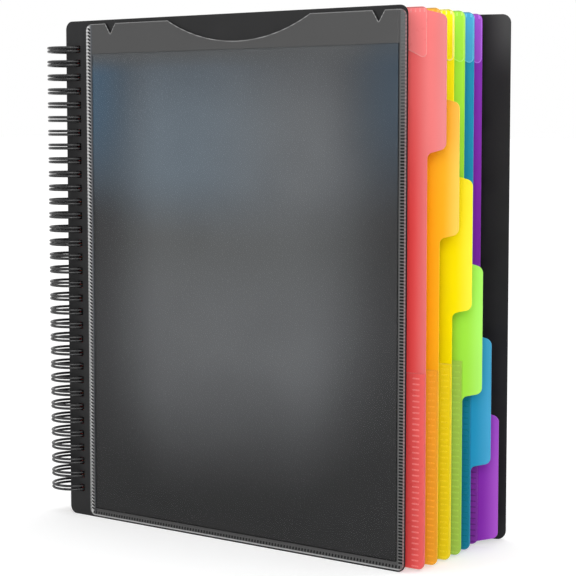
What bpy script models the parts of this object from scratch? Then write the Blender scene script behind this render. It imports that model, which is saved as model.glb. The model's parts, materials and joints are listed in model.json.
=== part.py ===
"""Multi-pocket folder, standing upright and fanned open: two covers and six tabbed leaves on a twin-loop wire.

Metres, +Z up. The wire's loops share one vertical line through their centres, the ring axis, and every sheet
turns about it. Each sheet has its own frame on that axis: X runs from the axis to the sheet's fore edge, Y
through the stack from front to back, and Z up.
"""

import math

import bpy
import bmesh
from mathutils import Matrix, Vector

MM = 0.001

# Sheets
SHEET_HEIGHT = 304.8 * MM
FRONT_COVER_WIDTH = 254.0 * MM
BACK_COVER_WIDTH = 272.0 * MM
LEAF_WIDTH = 260.0 * MM  # spine edge to fore edge, without the tab
COVER_THICKNESS = 0.9 * MM
LEAF_THICKNESS = 0.4 * MM
LEAF_END_INSET = 0.8 * MM  # a leaf is this much shorter than a cover at its top and at its bottom
COVER_CORNER_RADIUS = 5.0 * MM
LEAF_CORNER_RADIUS = 4.0 * MM
SHEET_CLEARANCE = 0.25 * MM  # free space between neighbours when the folder is shut

# Index tabs, one step lower on each leaf
TAB_REACH = 11.8 * MM
TAB_HEIGHT = 75.8 * MM  # at its root, on the leaf's fore edge
TAB_SLANT = 2.9 * MM
TAB_CORNER_RADIUS = 4.0 * MM
TAB_ROOT_RADIUS = 3.5 * MM
TAB_END_MARGIN = 2.1 * MM  # from a leaf's end to the tab nearest to it
# Each tab's middle, as a share of the way from the leaf's middle to the outermost tab. The steps aren't even: the
# leaves are cut from three shapes, each used both ways up.
TAB_PLACES = (1.0, 0.589, 0.215, -0.215, -0.589, -1.0)

# Films and their welds
FILM_THICKNESS = 0.15 * MM
WELD_GAP = 0.3 * MM  # a welded film is drawn this far off the sheet that it is welded to
FILM_EDGE_INSET = 0.4 * MM
LEAF_FILM_SPINE_MARGIN = 18.0 * MM
LEAF_POCKET_TOP = 108.3 * MM  # above the covers' lower edges, on the red leaf
POCKET_TOP_OFFSETS = {  # how much higher each leaf's mouth is than the red one's
    "red": 0.0,
    "orange": 0.5 * MM,
    "yellow": 2.4 * MM,
    "green": 2.6 * MM,
    "blue": 1.7 * MM,
    "purple": 1.7 * MM,
}
FLAP_HEIGHT = 27.3 * MM
FLAP_LENGTH = 60.7 * MM
FLAP_CORNER_RADIUS = 2.5 * MM

# Clear pocket on the front cover, and the sheet that stands in it
COVER_FILM_THICKNESS = 0.2 * MM
COVER_POCKET_SPINE_MARGIN = 17.4 * MM
COVER_POCKET_FORE_INSET = 0.5 * MM
COVER_POCKET_TOP_INSET = 2.3 * MM
COVER_POCKET_BOTTOM_INSET = 1.0 * MM
COVER_POCKET_CORNER_RADIUS = 4.0 * MM
WELD_BAND_WIDTH = 4.1 * MM
WELD_BAND_INSET = 0.4 * MM  # from the film's edge to the band
THUMB_CUT_WIDTH = 106.0 * MM
THUMB_CUT_DEPTH = 13.3 * MM
NOTCH_WIDTH = 8.2 * MM
NOTCH_DEPTH = 6.4 * MM
NOTCH_SIDE_MARGIN = 19.3 * MM  # from the film's side edge to the notch's middle
INSERT_HEIGHT = 279.4 * MM
INSERT_THICKNESS = 0.25 * MM
INSERT_CLEARANCE = 0.3 * MM
INSERT_SPINE_CLEARANCE = 0.5 * MM  # between the sheet and the weld band on its spine side
INSERT_FORE_CLEARANCE = 2.0 * MM  # and on its fore side

# Twin-loop wire
WIRE_DIAMETER = 1.6 * MM
WIRE_RING_RADIUS = 13.4 * MM
TWIN_SPACING = 2.1 * MM  # between the two strands of one loop
HOLE_PITCH = 25.4 / 3 * MM
HOLE_WIDTH = 4.0 * MM
HOLE_HEIGHT = 4.2 * MM
HOLE_SPINE_MARGIN = 10.1 * MM  # spine edge to hole centre
HOLE_END_MARGIN = 14.0 * MM  # least distance from a sheet's end to the first hole centre
SPINE_BAR_ANGLE = 95.0  # degrees about the ring axis, from +X towards +Y: behind the spine
LOOP_OPENING_ANGLE = 18.0  # degrees between the loops' closed ends and the bars
POINTS_PER_STRAND = 10

# How far the stack is fanned, in degrees between each sheet and the one behind it, front cover first
FAN_STEPS = (1.7, 2.4, 2.9, 2.7, 2.8, 3.1, 4.3)

ARC_STEP = 22.5  # degrees, the longest step along a rounded corner
THUMB_CUT_STEPS = 16
WELD_DISTANCE = 1e-7

COVER_BLACK = (0.035, 0.035, 0.037)
FILM_GREY = (0.10, 0.10, 0.10)
INSERT_SLATE = (0.14, 0.16, 0.18)
WIRE_BLACK = (0.012, 0.012, 0.013)
LEAF_COLOURS = {
    "red": (0.75, 0.06, 0.06),
    "orange": (0.92, 0.33, 0.02),
    "yellow": (0.90, 0.66, 0.01),
    "green": (0.36, 0.66, 0.06),
    "blue": (0.03, 0.30, 0.50),
    "purple": (0.28, 0.04, 0.48),
}

# Worked out from the sizes above
FILM_STANDOFF = LEAF_THICKNESS / 2 + WELD_GAP + FILM_THICKNESS / 2
LEAF_BULK = LEAF_THICKNESS + 2 * (WELD_GAP + FILM_THICKNESS)
LEAF_PITCH = LEAF_BULK + SHEET_CLEARANCE
COVER_OFFSET = (
    (len(LEAF_COLOURS) - 1) / 2 * LEAF_PITCH + LEAF_BULK / 2 + SHEET_CLEARANCE + COVER_THICKNESS / 2
)
LEAF_HEIGHT = SHEET_HEIGHT - 2 * LEAF_END_INSET
OUTERMOST_TAB = LEAF_HEIGHT / 2 - TAB_END_MARGIN - TAB_HEIGHT / 2  # from the leaf's middle to that tab's middle
FILM_CORNER_RADIUS = LEAF_CORNER_RADIUS - FILM_EDGE_INSET
HOLE_COUNT = int((SHEET_HEIGHT - 2 * HOLE_END_MARGIN) / HOLE_PITCH) + 1
FIRST_HOLE = (SHEET_HEIGHT - (HOLE_COUNT - 1) * HOLE_PITCH) / 2
COVER_FILM_INNER = COVER_THICKNESS / 2 + INSERT_CLEARANCE + INSERT_THICKNESS + INSERT_CLEARANCE
COVER_POCKET_WIDTH = FRONT_COVER_WIDTH - COVER_POCKET_SPINE_MARGIN - COVER_POCKET_FORE_INSET
NOTCH_DISTANCE = COVER_POCKET_WIDTH / 2 - NOTCH_SIDE_MARGIN  # from the middle of the pocket to each notch
INSERT_WIDTH = (
    COVER_POCKET_WIDTH - 2 * (WELD_BAND_INSET + WELD_BAND_WIDTH) - INSERT_SPINE_CLEARANCE - INSERT_FORE_CLEARANCE
)


def clear_scene():
    for obj in list(bpy.data.objects):
        bpy.data.objects.remove(obj, do_unlink=True)


def new_collection(name):
    collection = bpy.data.collections.new(name)
    bpy.context.scene.collection.children.link(collection)
    return collection


def new_material(name, colour, roughness, alpha=1.0):
    material = bpy.data.materials.new(name)
    material.use_nodes = True
    shader = material.node_tree.nodes["Principled BSDF"]
    shader.inputs["Base Color"].default_value = (*colour, 1.0)
    shader.inputs["Roughness"].default_value = roughness
    shader.inputs["Metallic"].default_value = 0.0
    shader.inputs["Alpha"].default_value = alpha
    material.diffuse_color = (*colour, alpha)
    return material


def new_pivot(name, collection, parent, angle):
    """An empty on the ring axis, turned by an angle in degrees from its parent."""
    pivot = bpy.data.objects.new(name, None)
    pivot.empty_display_size = 0.02
    pivot.rotation_euler.z = math.radians(angle)
    pivot.parent = parent
    collection.objects.link(pivot)
    return pivot


def rounded(corners):
    """The outline through (x, z, radius) corners, listed anticlockwise, with each corner cut to its arc."""
    points = []
    for index, (x, z, radius) in enumerate(corners):
        corner = Vector((x, z))
        if radius <= 0:
            points.append(corner)
            continue
        before = (Vector(corners[index - 1][:2]) - corner).normalized()
        after = (Vector(corners[(index + 1) % len(corners)][:2]) - corner).normalized()
        half_angle = before.angle(after) / 2
        centre = corner + (before + after).normalized() * (radius / math.sin(half_angle))
        start = corner + before * (radius / math.tan(half_angle)) - centre
        sweep = math.copysign(math.pi - 2 * half_angle, -before.cross(after))
        steps = max(2, math.ceil(math.degrees(abs(sweep)) / ARC_STEP))
        for step in range(steps + 1):
            points.append(centre + Matrix.Rotation(sweep * step / steps, 2) @ start)
    return points


def rectangle(left, bottom, right, top, radius=0.0):
    return rounded([(left, bottom, radius), (right, bottom, radius), (right, top, radius), (left, top, radius)])


def hole_outlines(spine_edge, base):
    """The row of binding holes of a sheet whose spine edge and lower edge are given."""
    middle = spine_edge + HOLE_SPINE_MARGIN
    outlines = []
    for index in range(HOLE_COUNT):
        height = FIRST_HOLE + index * HOLE_PITCH - base
        outlines.append(
            rectangle(
                middle - HOLE_WIDTH / 2,
                height - HOLE_HEIGHT / 2,
                middle + HOLE_WIDTH / 2,
                height + HOLE_HEIGHT / 2,
            )
        )
    return outlines


def new_plate(name, collection, parent, outlines, thickness, offset, base, material):
    """A flat piece in its sheet's frame: outlines in X and Z, middle plane at Y = offset, lower edge at base."""
    curve = bpy.data.curves.new(name, "CURVE")
    curve.dimensions = "2D"
    curve.fill_mode = "BOTH"
    curve.extrude = thickness / 2
    for outline in outlines:
        spline = curve.splines.new("POLY")
        spline.points.add(len(outline) - 1)
        for point, (x, z) in zip(spline.points, outline):
            point.co = (x, z, 0.0, 1.0)
        spline.use_cyclic_u = True
    curve.materials.append(material)
    plate = bpy.data.objects.new(name, curve)
    plate.location = (0.0, offset, base)
    plate.rotation_euler.x = math.pi / 2
    plate.parent = parent
    collection.objects.link(plate)
    return plate


def as_mesh(plate):
    """The mesh object of a curve, with its caps welded on. It takes the curve's name and place."""
    bpy.context.view_layer.update()
    graph = bpy.context.evaluated_depsgraph_get()
    mesh = bpy.data.meshes.new_from_object(plate.evaluated_get(graph))
    work = bmesh.new()
    work.from_mesh(mesh)
    bmesh.ops.remove_doubles(work, verts=work.verts, dist=WELD_DISTANCE)
    bmesh.ops.recalc_face_normals(work, faces=work.faces)
    work.to_mesh(mesh)
    work.free()
    solid = bpy.data.objects.new(plate.name, mesh)
    solid.parent = plate.parent
    plate.users_collection[0].objects.link(solid)
    solid.matrix_world = plate.matrix_world
    name = plate.name
    bpy.data.objects.remove(plate, do_unlink=True)
    solid.name = name
    return solid


def spine_edge_of(offset):
    """X of a sheet's spine edge, so that its holes lie on the ring at the sheet's offset in the stack."""
    return math.sqrt(WIRE_RING_RADIUS**2 - offset**2) - HOLE_SPINE_MARGIN


def add_cover(name, collection, parent, width, offset):
    spine = spine_edge_of(offset)
    outline = rectangle(spine, 0.0, spine + width, SHEET_HEIGHT, COVER_CORNER_RADIUS)
    material = new_material(f"{name}_plastic", COVER_BLACK, 0.45)
    return new_plate(
        name, collection, parent, [outline] + hole_outlines(spine, 0.0), COVER_THICKNESS, offset, 0.0, material
    )


def fore_corner(fore, margin):
    """A leaf's fore corner and the root of a tab that starts at a margin from the leaf's end.

    The corners are (x, distance from the leaf's end, radius). A tab near the end starts on the corner's arc.
    """
    slope = TAB_SLANT / TAB_REACH
    root_length = TAB_ROOT_RADIUS * math.tan((math.pi / 2 - math.atan(slope)) / 2)
    if margin >= LEAF_CORNER_RADIUS:
        root_radius = TAB_ROOT_RADIUS if margin >= LEAF_CORNER_RADIUS + root_length else 0.0
        return [(fore, 0.0, LEAF_CORNER_RADIUS), (fore, margin, root_radius)]
    reach = LEAF_CORNER_RADIUS * math.hypot(1.0, slope)
    end = math.atan(slope) + math.acos((LEAF_CORNER_RADIUS * (1 + slope) - margin) / reach)
    steps = max(2, math.ceil(math.degrees(end) / ARC_STEP))
    corners = []
    for step in range(steps + 1):
        angle = end * step / steps
        corners.append(
            (fore - LEAF_CORNER_RADIUS * (1 - math.sin(angle)), LEAF_CORNER_RADIUS * (1 - math.cos(angle)), 0.0)
        )
    return corners


def leaf_outline(spine, tab_middle):
    """A leaf's outline, with its tab at a height of tab_middle."""
    fore = spine + LEAF_WIDTH
    low = tab_middle - TAB_HEIGHT / 2
    high = tab_middle + TAB_HEIGHT / 2
    corners = [(spine, 0.0, LEAF_CORNER_RADIUS)]
    corners += fore_corner(fore, low)
    corners.append((fore + TAB_REACH, low + TAB_SLANT, TAB_CORNER_RADIUS))
    corners.append((fore + TAB_REACH, high - TAB_SLANT, TAB_CORNER_RADIUS))
    corners += [(x, LEAF_HEIGHT - end, radius) for x, end, radius in reversed(fore_corner(fore, LEAF_HEIGHT - high))]
    corners.append((spine, LEAF_HEIGHT, LEAF_CORNER_RADIUS))
    return rounded(corners)


def leaf_pocket_outline(spine, top):
    """The lower pocket's film, up to its mouth. Its lower fore corner follows the leaf's."""
    left = spine + LEAF_FILM_SPINE_MARGIN
    right = spine + LEAF_WIDTH - FILM_EDGE_INSET
    bottom = FILM_EDGE_INSET
    return rounded([(left, bottom, 0.0), (right, bottom, FILM_CORNER_RADIUS), (right, top, 0.0), (left, top, 0.0)])


def flap_outline(spine):
    """The corner flap's film: a long triangle under the leaf's top edge, tallest at the fore edge."""
    right = spine + LEAF_WIDTH - FILM_EDGE_INSET
    top = LEAF_HEIGHT - FILM_EDGE_INSET
    return rounded(
        [
            (right, top - FLAP_HEIGHT, FLAP_CORNER_RADIUS),
            (right, top, FILM_CORNER_RADIUS),
            (right - FLAP_LENGTH, top, 0.0),
        ]
    )


def add_leaf(colour, number, collection, parent):
    offset = (number - (len(LEAF_COLOURS) - 1) / 2) * LEAF_PITCH
    spine = spine_edge_of(offset)
    shade = LEAF_COLOURS[colour]
    new_plate(
        f"{colour}_leaf",
        collection,
        parent,
        [leaf_outline(spine, LEAF_HEIGHT / 2 + TAB_PLACES[number] * OUTERMOST_TAB)]
        + hole_outlines(spine, LEAF_END_INSET),
        LEAF_THICKNESS,
        offset,
        LEAF_END_INSET,
        new_material(f"{colour}_leaf_plastic", shade, 0.4),
    )
    mouth = LEAF_POCKET_TOP + POCKET_TOP_OFFSETS[colour] - LEAF_END_INSET
    films = {"pocket": leaf_pocket_outline(spine, mouth), "flap": flap_outline(spine)}
    for side, way in (("front", -1), ("back", 1)):
        for part, outline in films.items():
            name = f"{colour}_{side}_{part}"
            film = new_material(f"{name}_film", shade, 0.3, 0.6)
            new_plate(
                name, collection, parent, [outline], FILM_THICKNESS, offset + way * FILM_STANDOFF,
                LEAF_END_INSET, film,
            )


def cover_pocket_outline(left, right, bottom, top):
    """The clear film, with a shallow thumb cut in the middle of its mouth and a notch on either side."""
    middle = (left + right) / 2
    radius = ((THUMB_CUT_WIDTH / 2) ** 2 + THUMB_CUT_DEPTH**2) / (2 * THUMB_CUT_DEPTH)
    half_angle = math.asin(THUMB_CUT_WIDTH / 2 / radius)
    centre_z = top - THUMB_CUT_DEPTH + radius

    def notch(x):
        return [(x + NOTCH_WIDTH / 2, top, 0.0), (x, top - NOTCH_DEPTH, 0.0), (x - NOTCH_WIDTH / 2, top, 0.0)]

    thumb_cut = []
    for step in range(THUMB_CUT_STEPS + 1):
        angle = half_angle * (1 - 2 * step / THUMB_CUT_STEPS)
        thumb_cut.append((middle + radius * math.sin(angle), centre_z - radius * math.cos(angle), 0.0))
    corners = [
        (left, bottom, COVER_POCKET_CORNER_RADIUS),
        (right, bottom, COVER_POCKET_CORNER_RADIUS),
        (right, top, COVER_POCKET_CORNER_RADIUS),
    ]
    corners += notch(middle + NOTCH_DISTANCE) + thumb_cut + notch(middle - NOTCH_DISTANCE)
    corners.append((left, top, COVER_POCKET_CORNER_RADIUS))
    return rounded(corners)


def add_cover_pocket(collection, cutters, parent):
    """The front cover's clear film, on a raised weld band along three sides, and the sheet that stands in it."""
    spine = spine_edge_of(COVER_OFFSET)
    left = spine + COVER_POCKET_SPINE_MARGIN
    right = spine + FRONT_COVER_WIDTH - COVER_POCKET_FORE_INSET
    bottom = COVER_POCKET_BOTTOM_INSET
    top = SHEET_HEIGHT - COVER_POCKET_TOP_INSET
    film_material = new_material("cover_pocket_film", FILM_GREY, 0.2, 0.35)
    film_middle = COVER_FILM_INNER + COVER_FILM_THICKNESS / 2
    film = as_mesh(
        new_plate(
            "cover_pocket", collection, parent, [cover_pocket_outline(left, right, bottom, top)],
            COVER_FILM_THICKNESS, -COVER_OFFSET - film_middle, 0.0, film_material,
        )
    )
    outer_left = left + WELD_BAND_INSET
    outer_right = right - WELD_BAND_INSET
    outer_bottom = bottom + WELD_BAND_INSET
    outer_top = top - COVER_POCKET_CORNER_RADIUS
    inner_left = outer_left + WELD_BAND_WIDTH
    inner_right = outer_right - WELD_BAND_WIDTH
    inner_bottom = outer_bottom + WELD_BAND_WIDTH
    band_outline = rounded(
        [
            (outer_left, outer_bottom, COVER_POCKET_CORNER_RADIUS),
            (outer_right, outer_bottom, COVER_POCKET_CORNER_RADIUS),
            (outer_right, outer_top, 0.0),
            (inner_right, outer_top, 0.0),
            (inner_right, inner_bottom, 0.0),
            (inner_left, inner_bottom, 0.0),
            (inner_left, outer_top, 0.0),
            (outer_left, outer_top, 0.0),
        ]
    )
    band_start = COVER_THICKNESS / 2 + WELD_GAP
    band = as_mesh(
        new_plate(
            "weld_band", cutters, parent, [band_outline], film_middle - band_start,
            -COVER_OFFSET - (film_middle + band_start) / 2, 0.0, film_material,
        )
    )
    band.hide_render = True
    band.display_type = "WIRE"
    join = film.modifiers.new("weld_band", "BOOLEAN")
    join.operation = "UNION"
    join.solver = "EXACT"
    join.object = band

    insert_base = inner_bottom + INSERT_CLEARANCE
    insert_left = inner_left + INSERT_SPINE_CLEARANCE
    new_plate(
        "cover_insert",
        collection,
        parent,
        [rectangle(insert_left, insert_base, insert_left + INSERT_WIDTH, insert_base + INSERT_HEIGHT)],
        INSERT_THICKNESS,
        -COVER_OFFSET - COVER_THICKNESS / 2 - INSERT_CLEARANCE - INSERT_THICKNESS / 2,
        0.0,
        new_material("cover_insert_card", INSERT_SLATE, 0.35),
    )


def wire_route():
    """The wire's points about the ring axis: out round the ring and back at each hole, then along a bar to the next."""
    sweep = 360.0 - LOOP_OPENING_ANGLE
    step = math.radians(sweep / (POINTS_PER_STRAND - 1))
    # A chord cuts inside its arc, so the points stand outside the ring by as much as the chords' middles fall short.
    reach = WIRE_RING_RADIUS * 2 / (1 + math.cos(step / 2))
    start = math.radians(SPINE_BAR_ANGLE)
    ring = [
        (reach * math.cos(start - index * step), reach * math.sin(start - index * step))
        for index in range(POINTS_PER_STRAND)
    ]
    route = []
    for index in range(HOLE_COUNT):
        height = FIRST_HOLE + index * HOLE_PITCH
        route += [Vector((x, y, height - TWIN_SPACING / 2)) for x, y in ring]
        route += [Vector((x, y, height + TWIN_SPACING / 2)) for x, y in reversed(ring)]
    return route


def least_gap(route, diameter, samples=4):
    """The least free space between stretches of a tube that lie more than one strand's length apart along it."""
    points = []
    for first, second in zip(route, route[1:]):
        points += [first.lerp(second, index / samples) for index in range(samples)]
    apart = samples * 2
    window = samples * 4 * POINTS_PER_STRAND
    gaps = [
        (points[i] - points[j]).length - diameter
        for i in range(len(points))
        for j in range(i + apart, min(i + window, len(points)))
    ]
    return min(gaps)


def add_wire(collection, parent):
    route = wire_route()
    curve = bpy.data.curves.new("wire_binding", "CURVE")
    curve.dimensions = "3D"
    curve.bevel_depth = WIRE_DIAMETER / 2
    curve.bevel_resolution = 1
    curve.use_fill_caps = True
    spline = curve.splines.new("POLY")
    spline.points.add(len(route) - 1)
    for point, place in zip(spline.points, route):
        point.co = (*place, 1.0)
    curve.materials.append(new_material("wire_coating", WIRE_BLACK, 0.3))
    wire = bpy.data.objects.new("wire_binding", curve)
    wire.parent = parent
    collection.objects.link(wire)
    print(f"wire: least gap to itself {least_gap(route, WIRE_DIAMETER) / MM:.2f} mm")


def box_of(objects):
    """Lowest and highest corners of the objects, in world space."""
    corners = [obj.matrix_world @ Vector(corner) for obj in objects for corner in obj.bound_box]
    low = Vector([min(corner[axis] for corner in corners) for axis in range(3)])
    high = Vector([max(corner[axis] for corner in corners) for axis in range(3)])
    return low, high


def print_places(pivots):
    """World places that a joint or a resting face needs."""
    places = {"ring axis": pivots["back_cover"].matrix_world.translation}
    for name, width, side in (("front_cover", FRONT_COVER_WIDTH, -1), ("back_cover", BACK_COVER_WIDTH, 1)):
        middle = spine_edge_of(COVER_OFFSET) + width / 2
        places[f"{name} lower edge"] = pivots[name].matrix_world @ Vector((middle, side * COVER_OFFSET, 0.0))
    for name, place in places.items():
        print(f"{name}: " + ", ".join(f"{value:.5f}" for value in place))


def main():
    clear_scene()
    folder = new_collection("multi_pocket_folder")
    cutters = new_collection("multi_pocket_folder_cutters")
    root = bpy.data.objects.new("folder_root", None)
    folder.objects.link(root)

    # Each sheet hangs on the one behind it, as the joints do, so the fan's steps add up from the back cover.
    pivots = {"back_cover": new_pivot("back_cover_pivot", folder, root, sum(FAN_STEPS))}
    pivots["wire"] = new_pivot("wire_pivot", folder, root, 0.0)
    behind = pivots["back_cover"]
    for colour, step in zip(reversed(LEAF_COLOURS), reversed(FAN_STEPS)):
        behind = pivots[colour] = new_pivot(f"{colour}_pivot", folder, behind, -step)
    pivots["front_cover"] = new_pivot("front_cover_pivot", folder, behind, -FAN_STEPS[0])

    add_cover("front_cover", folder, pivots["front_cover"], FRONT_COVER_WIDTH, -COVER_OFFSET)
    add_cover_pocket(folder, cutters, pivots["front_cover"])
    for number, colour in enumerate(LEAF_COLOURS):
        add_leaf(colour, number, folder, pivots[colour])
    add_cover("back_cover", folder, pivots["back_cover"], BACK_COVER_WIDTH, COVER_OFFSET)
    add_wire(folder, pivots["wire"])

    bpy.context.view_layer.update()
    low, high = box_of([obj for obj in folder.objects if obj.type != "EMPTY"])
    root.location = (-(low.x + high.x) / 2, -(low.y + high.y) / 2, -low.z)
    bpy.context.view_layer.update()
    print_places(pivots)


main()
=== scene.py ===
"""Multi-pocket folder, dressed for show: two black covers and six tabbed leaves fanned open on a twin-loop wire.

Every sheet is drawn flat first: x runs from the ring axis to the fore edge, y is the height above the floor and z
points out of the sheet's front. Its SheetPlace then stands it up at its turn about the ring axis, in metres.
"""

import json
import logging
import math
from dataclasses import dataclass
from enum import Enum
from functools import partial, reduce
from typing import Any

import bmesh
import bpy
from mathutils import Matrix, Vector


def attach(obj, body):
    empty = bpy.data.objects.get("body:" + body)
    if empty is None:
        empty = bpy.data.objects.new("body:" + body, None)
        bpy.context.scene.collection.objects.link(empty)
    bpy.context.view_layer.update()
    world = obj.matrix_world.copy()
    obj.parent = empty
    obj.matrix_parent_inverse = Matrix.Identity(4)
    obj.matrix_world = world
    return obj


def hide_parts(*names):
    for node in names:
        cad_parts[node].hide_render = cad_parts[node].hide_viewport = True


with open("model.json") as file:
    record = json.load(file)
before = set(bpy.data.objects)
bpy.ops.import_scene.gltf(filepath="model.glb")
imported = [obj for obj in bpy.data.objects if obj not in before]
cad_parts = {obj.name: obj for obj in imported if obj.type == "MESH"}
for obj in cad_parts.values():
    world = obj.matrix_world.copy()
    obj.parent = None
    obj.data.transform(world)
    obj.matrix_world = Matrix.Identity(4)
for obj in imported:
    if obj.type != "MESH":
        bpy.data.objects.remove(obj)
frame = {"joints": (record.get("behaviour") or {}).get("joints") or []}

MM = 0.001
JOIN_DISTANCE = 1e-7  # points nearer than this are one point
PLATE_JOIN_DISTANCE = 1e-6
RIM_ANGLE = math.radians(60)  # an edge sharper than this may be a sheet's rim
RIM_FACE_Z = 0.9  # and it is one if a face beside it has a normal with more z than this
FLAT_FACE_Z = 0.999
BAR_ROUNDING = 0.48  # a weld bar's corner radius, of its width
PLASTIC_IOR = 1.49
log = logging.getLogger("multi_pocket_folder")

Colour = tuple[float, float, float]
Corner = tuple[float, float, float]  # x, y and the radius of its arc
Point = tuple[float, float, float]
Outline = list[tuple[float, float]]
Span = tuple[float, float]  # where a change starts and ends, or two distances
Socket = bpy.types.NodeSocket
Inputs = dict[str | int, Any]
Mesh = bpy.types.Mesh
Material = bpy.types.Material
Piece = bpy.types.Object


class Side(Enum):
    """The two sides of a sheet. The value is the way along the flat sheet's z."""

    FRONT = 1
    BACK = -1


class Film(Enum):
    """The two films that are welded to each side of a leaf."""

    POCKET = "pocket"
    FLAP = "flap"


def grey(level: float) -> Colour:
    """A grey of a level."""
    return (level, level, level)


# Sizes that several pieces share, as in the CAD model


@dataclass(frozen=True)
class StackSizes:
    """Sizes of the whole stack of sheets, in metres."""

    height: float = 304.8 * MM
    ring_radius: float = 13.4 * MM
    hole_pitch: float = 25.4 / 3 * MM
    hole_count: int = 33
    hole_margin: float = 10.1 * MM  # spine edge to hole centre
    hole_width: float = 4.0 * MM
    hole_height: float = 4.2 * MM
    hole_corner_radius: float = 0.35 * MM
    leaf_count: int = 6
    leaf_pitch: float = 1.55 * MM
    cover_offset: float = 5.225 * MM
    cover_thickness: float = 0.9 * MM
    leaf_thickness: float = 0.4 * MM
    leaf_inset: float = 0.8 * MM  # a leaf ends this far inside the covers' top and bottom

    @property
    def first_hole(self) -> float:
        """Height of the lowest hole's centre."""
        return (self.height - (self.hole_count - 1) * self.hole_pitch) / 2

    def spine_edge(self, offset: float) -> float:
        """The flat x of the spine edge of a sheet at an offset in the stack, so that its holes lie on the ring."""
        return math.sqrt(self.ring_radius**2 - offset**2) - self.hole_margin


SIZES = StackSizes()


def joint_named(name: str) -> dict[str, Any]:
    """The frame's joint of that name."""
    return next(joint for joint in frame["joints"] if joint["name"] == name)


def fan_step(joint_name: str) -> float:
    """How far a sheet stands open from the one behind it: its joint's way to shut, in radians."""
    return math.radians(min(abs(limit) for limit in joint_named(joint_name)["range_deg"]))


RING_AXIS = Vector((*joint_named("wire_turn")["pos_m"][:2], 0.0))


@dataclass(frozen=True)
class SheetPlace:
    """Where a flat sheet stands: the body that it belongs to, its turn about the ring axis and its offset."""

    body: str
    turn: float
    offset: float

    @property
    def matrix(self) -> Matrix:
        """The matrix from the flat sheet to its place in the frame."""
        turned = Matrix.Translation(RING_AXIS) @ Matrix.Rotation(self.turn, 4, "Z")
        return turned @ Matrix.Translation((0.0, self.offset, 0.0)) @ Matrix.Rotation(math.pi / 2, 4, "X")

    @property
    def spine(self) -> float:
        """The flat x of the sheet's spine edge."""
        return SIZES.spine_edge(self.offset)


# Outlines and meshes


def rounded(corners: list[Corner], arc_step: float = 9.0) -> Outline:
    """The outline through some corners, with each corner cut to its arc.

    Args:
        corners: The corners (x, y, radius), anticlockwise.
        arc_step: The longest step along an arc, in degrees.

    Returns:
        The outline's points.
    """
    points: Outline = []
    for index, (x, y, radius) in enumerate(corners):
        corner = Vector((x, y))
        if radius <= 0:
            points.append((x, y))
            continue
        before = (Vector(corners[index - 1][:2]) - corner).normalized()
        after = (Vector(corners[(index + 1) % len(corners)][:2]) - corner).normalized()
        half_angle = before.angle(after) / 2
        centre = corner + (before + after).normalized() * (radius / math.sin(half_angle))
        start = corner + before * (radius / math.tan(half_angle)) - centre
        sweep = math.copysign(math.pi - 2 * half_angle, -before.cross(after))
        steps = max(2, math.ceil(math.degrees(abs(sweep)) / arc_step))
        points += [tuple(centre + Matrix.Rotation(sweep * step / steps, 2) @ start) for step in range(steps + 1)]
    return points


def rectangle(left: float, bottom: float, right: float, top: float, radius: float = 0.0) -> Outline:
    """A rectangle's outline, with its corners rounded."""
    return rounded([(left, bottom, radius), (right, bottom, radius), (right, top, radius), (left, top, radius)])


def outline_mesh(name: str, outline: Outline, closed: bool = True) -> Mesh:
    """A mesh of edges along an outline, for a Geometry Nodes tree to read as a curve.

    Args:
        name: The mesh's name.
        outline: The points, in order.
        closed: Whether the last point is joined to the first.

    Returns:
        The mesh.
    """
    count = len(outline)
    edges = [(index, (index + 1) % count) for index in range(count if closed else count - 1)]
    mesh = bpy.data.meshes.new(name)
    mesh.from_pydata([(x, y, 0.0) for x, y in outline], edges, [])
    return mesh


def new_piece(name: str, mesh: Mesh) -> Piece:
    """An object of a mesh, in the scene.

    Args:
        name: The object's name.
        mesh: Its mesh.

    Returns:
        The object.
    """
    piece = bpy.data.objects.new(name, mesh)
    bpy.context.scene.collection.objects.link(piece)
    return piece


def soften_edges(mesh: Mesh, width: float, segments: int = 2, rim_slot: int | None = 1) -> None:
    """Bevels a flat piece's rims. The flat faces stay flat, and the rims are shaded smooth.

    Args:
        mesh: The flat piece, still lying in its own x and y.
        width: The bevel's width.
        segments: The bevel's number of segments.
        rim_slot: The material slot that the rims take, or None to leave it.
    """
    work = bmesh.new()
    work.from_mesh(mesh)
    bmesh.ops.remove_doubles(work, verts=work.verts, dist=JOIN_DISTANCE)
    bmesh.ops.recalc_face_normals(work, faces=work.faces)
    rims = [edge for edge in work.edges if len(edge.link_faces) == 2 and edge.calc_face_angle() > RIM_ANGLE]
    rims = [edge for edge in rims if any(abs(face.normal.z) > RIM_FACE_Z for face in edge.link_faces)]
    bmesh.ops.bevel(
        work, geom=rims, offset=width, offset_type="OFFSET", segments=segments, profile=0.5, affect="EDGES",
        clamp_overlap=True,
    )
    work.normal_update()
    for face in work.faces:
        is_flat = abs(face.normal.z) > FLAT_FACE_Z
        face.smooth = not is_flat
        if rim_slot is not None and not is_flat:
            face.material_index = rim_slot
    work.to_mesh(mesh)
    work.free()


def bordered_skin(outline: Outline, border: float) -> bmesh.types.BMesh:
    """A skin without thickness that fills an outline, with a narrow border along it in material slot 1.

    Args:
        outline: The skin's outline, anticlockwise.
        border: The border's width.

    Returns:
        The skin, at z = 0.
    """
    skin = bmesh.new()
    face = skin.faces.new([skin.verts.new((x, y, 0.0)) for x, y in outline])
    skin.normal_update()
    ring = bmesh.ops.inset_region(skin, faces=[face], thickness=border, use_boundary=True, use_even_offset=True)
    for rim in ring["faces"]:
        rim.material_index = 1
    return skin


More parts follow.
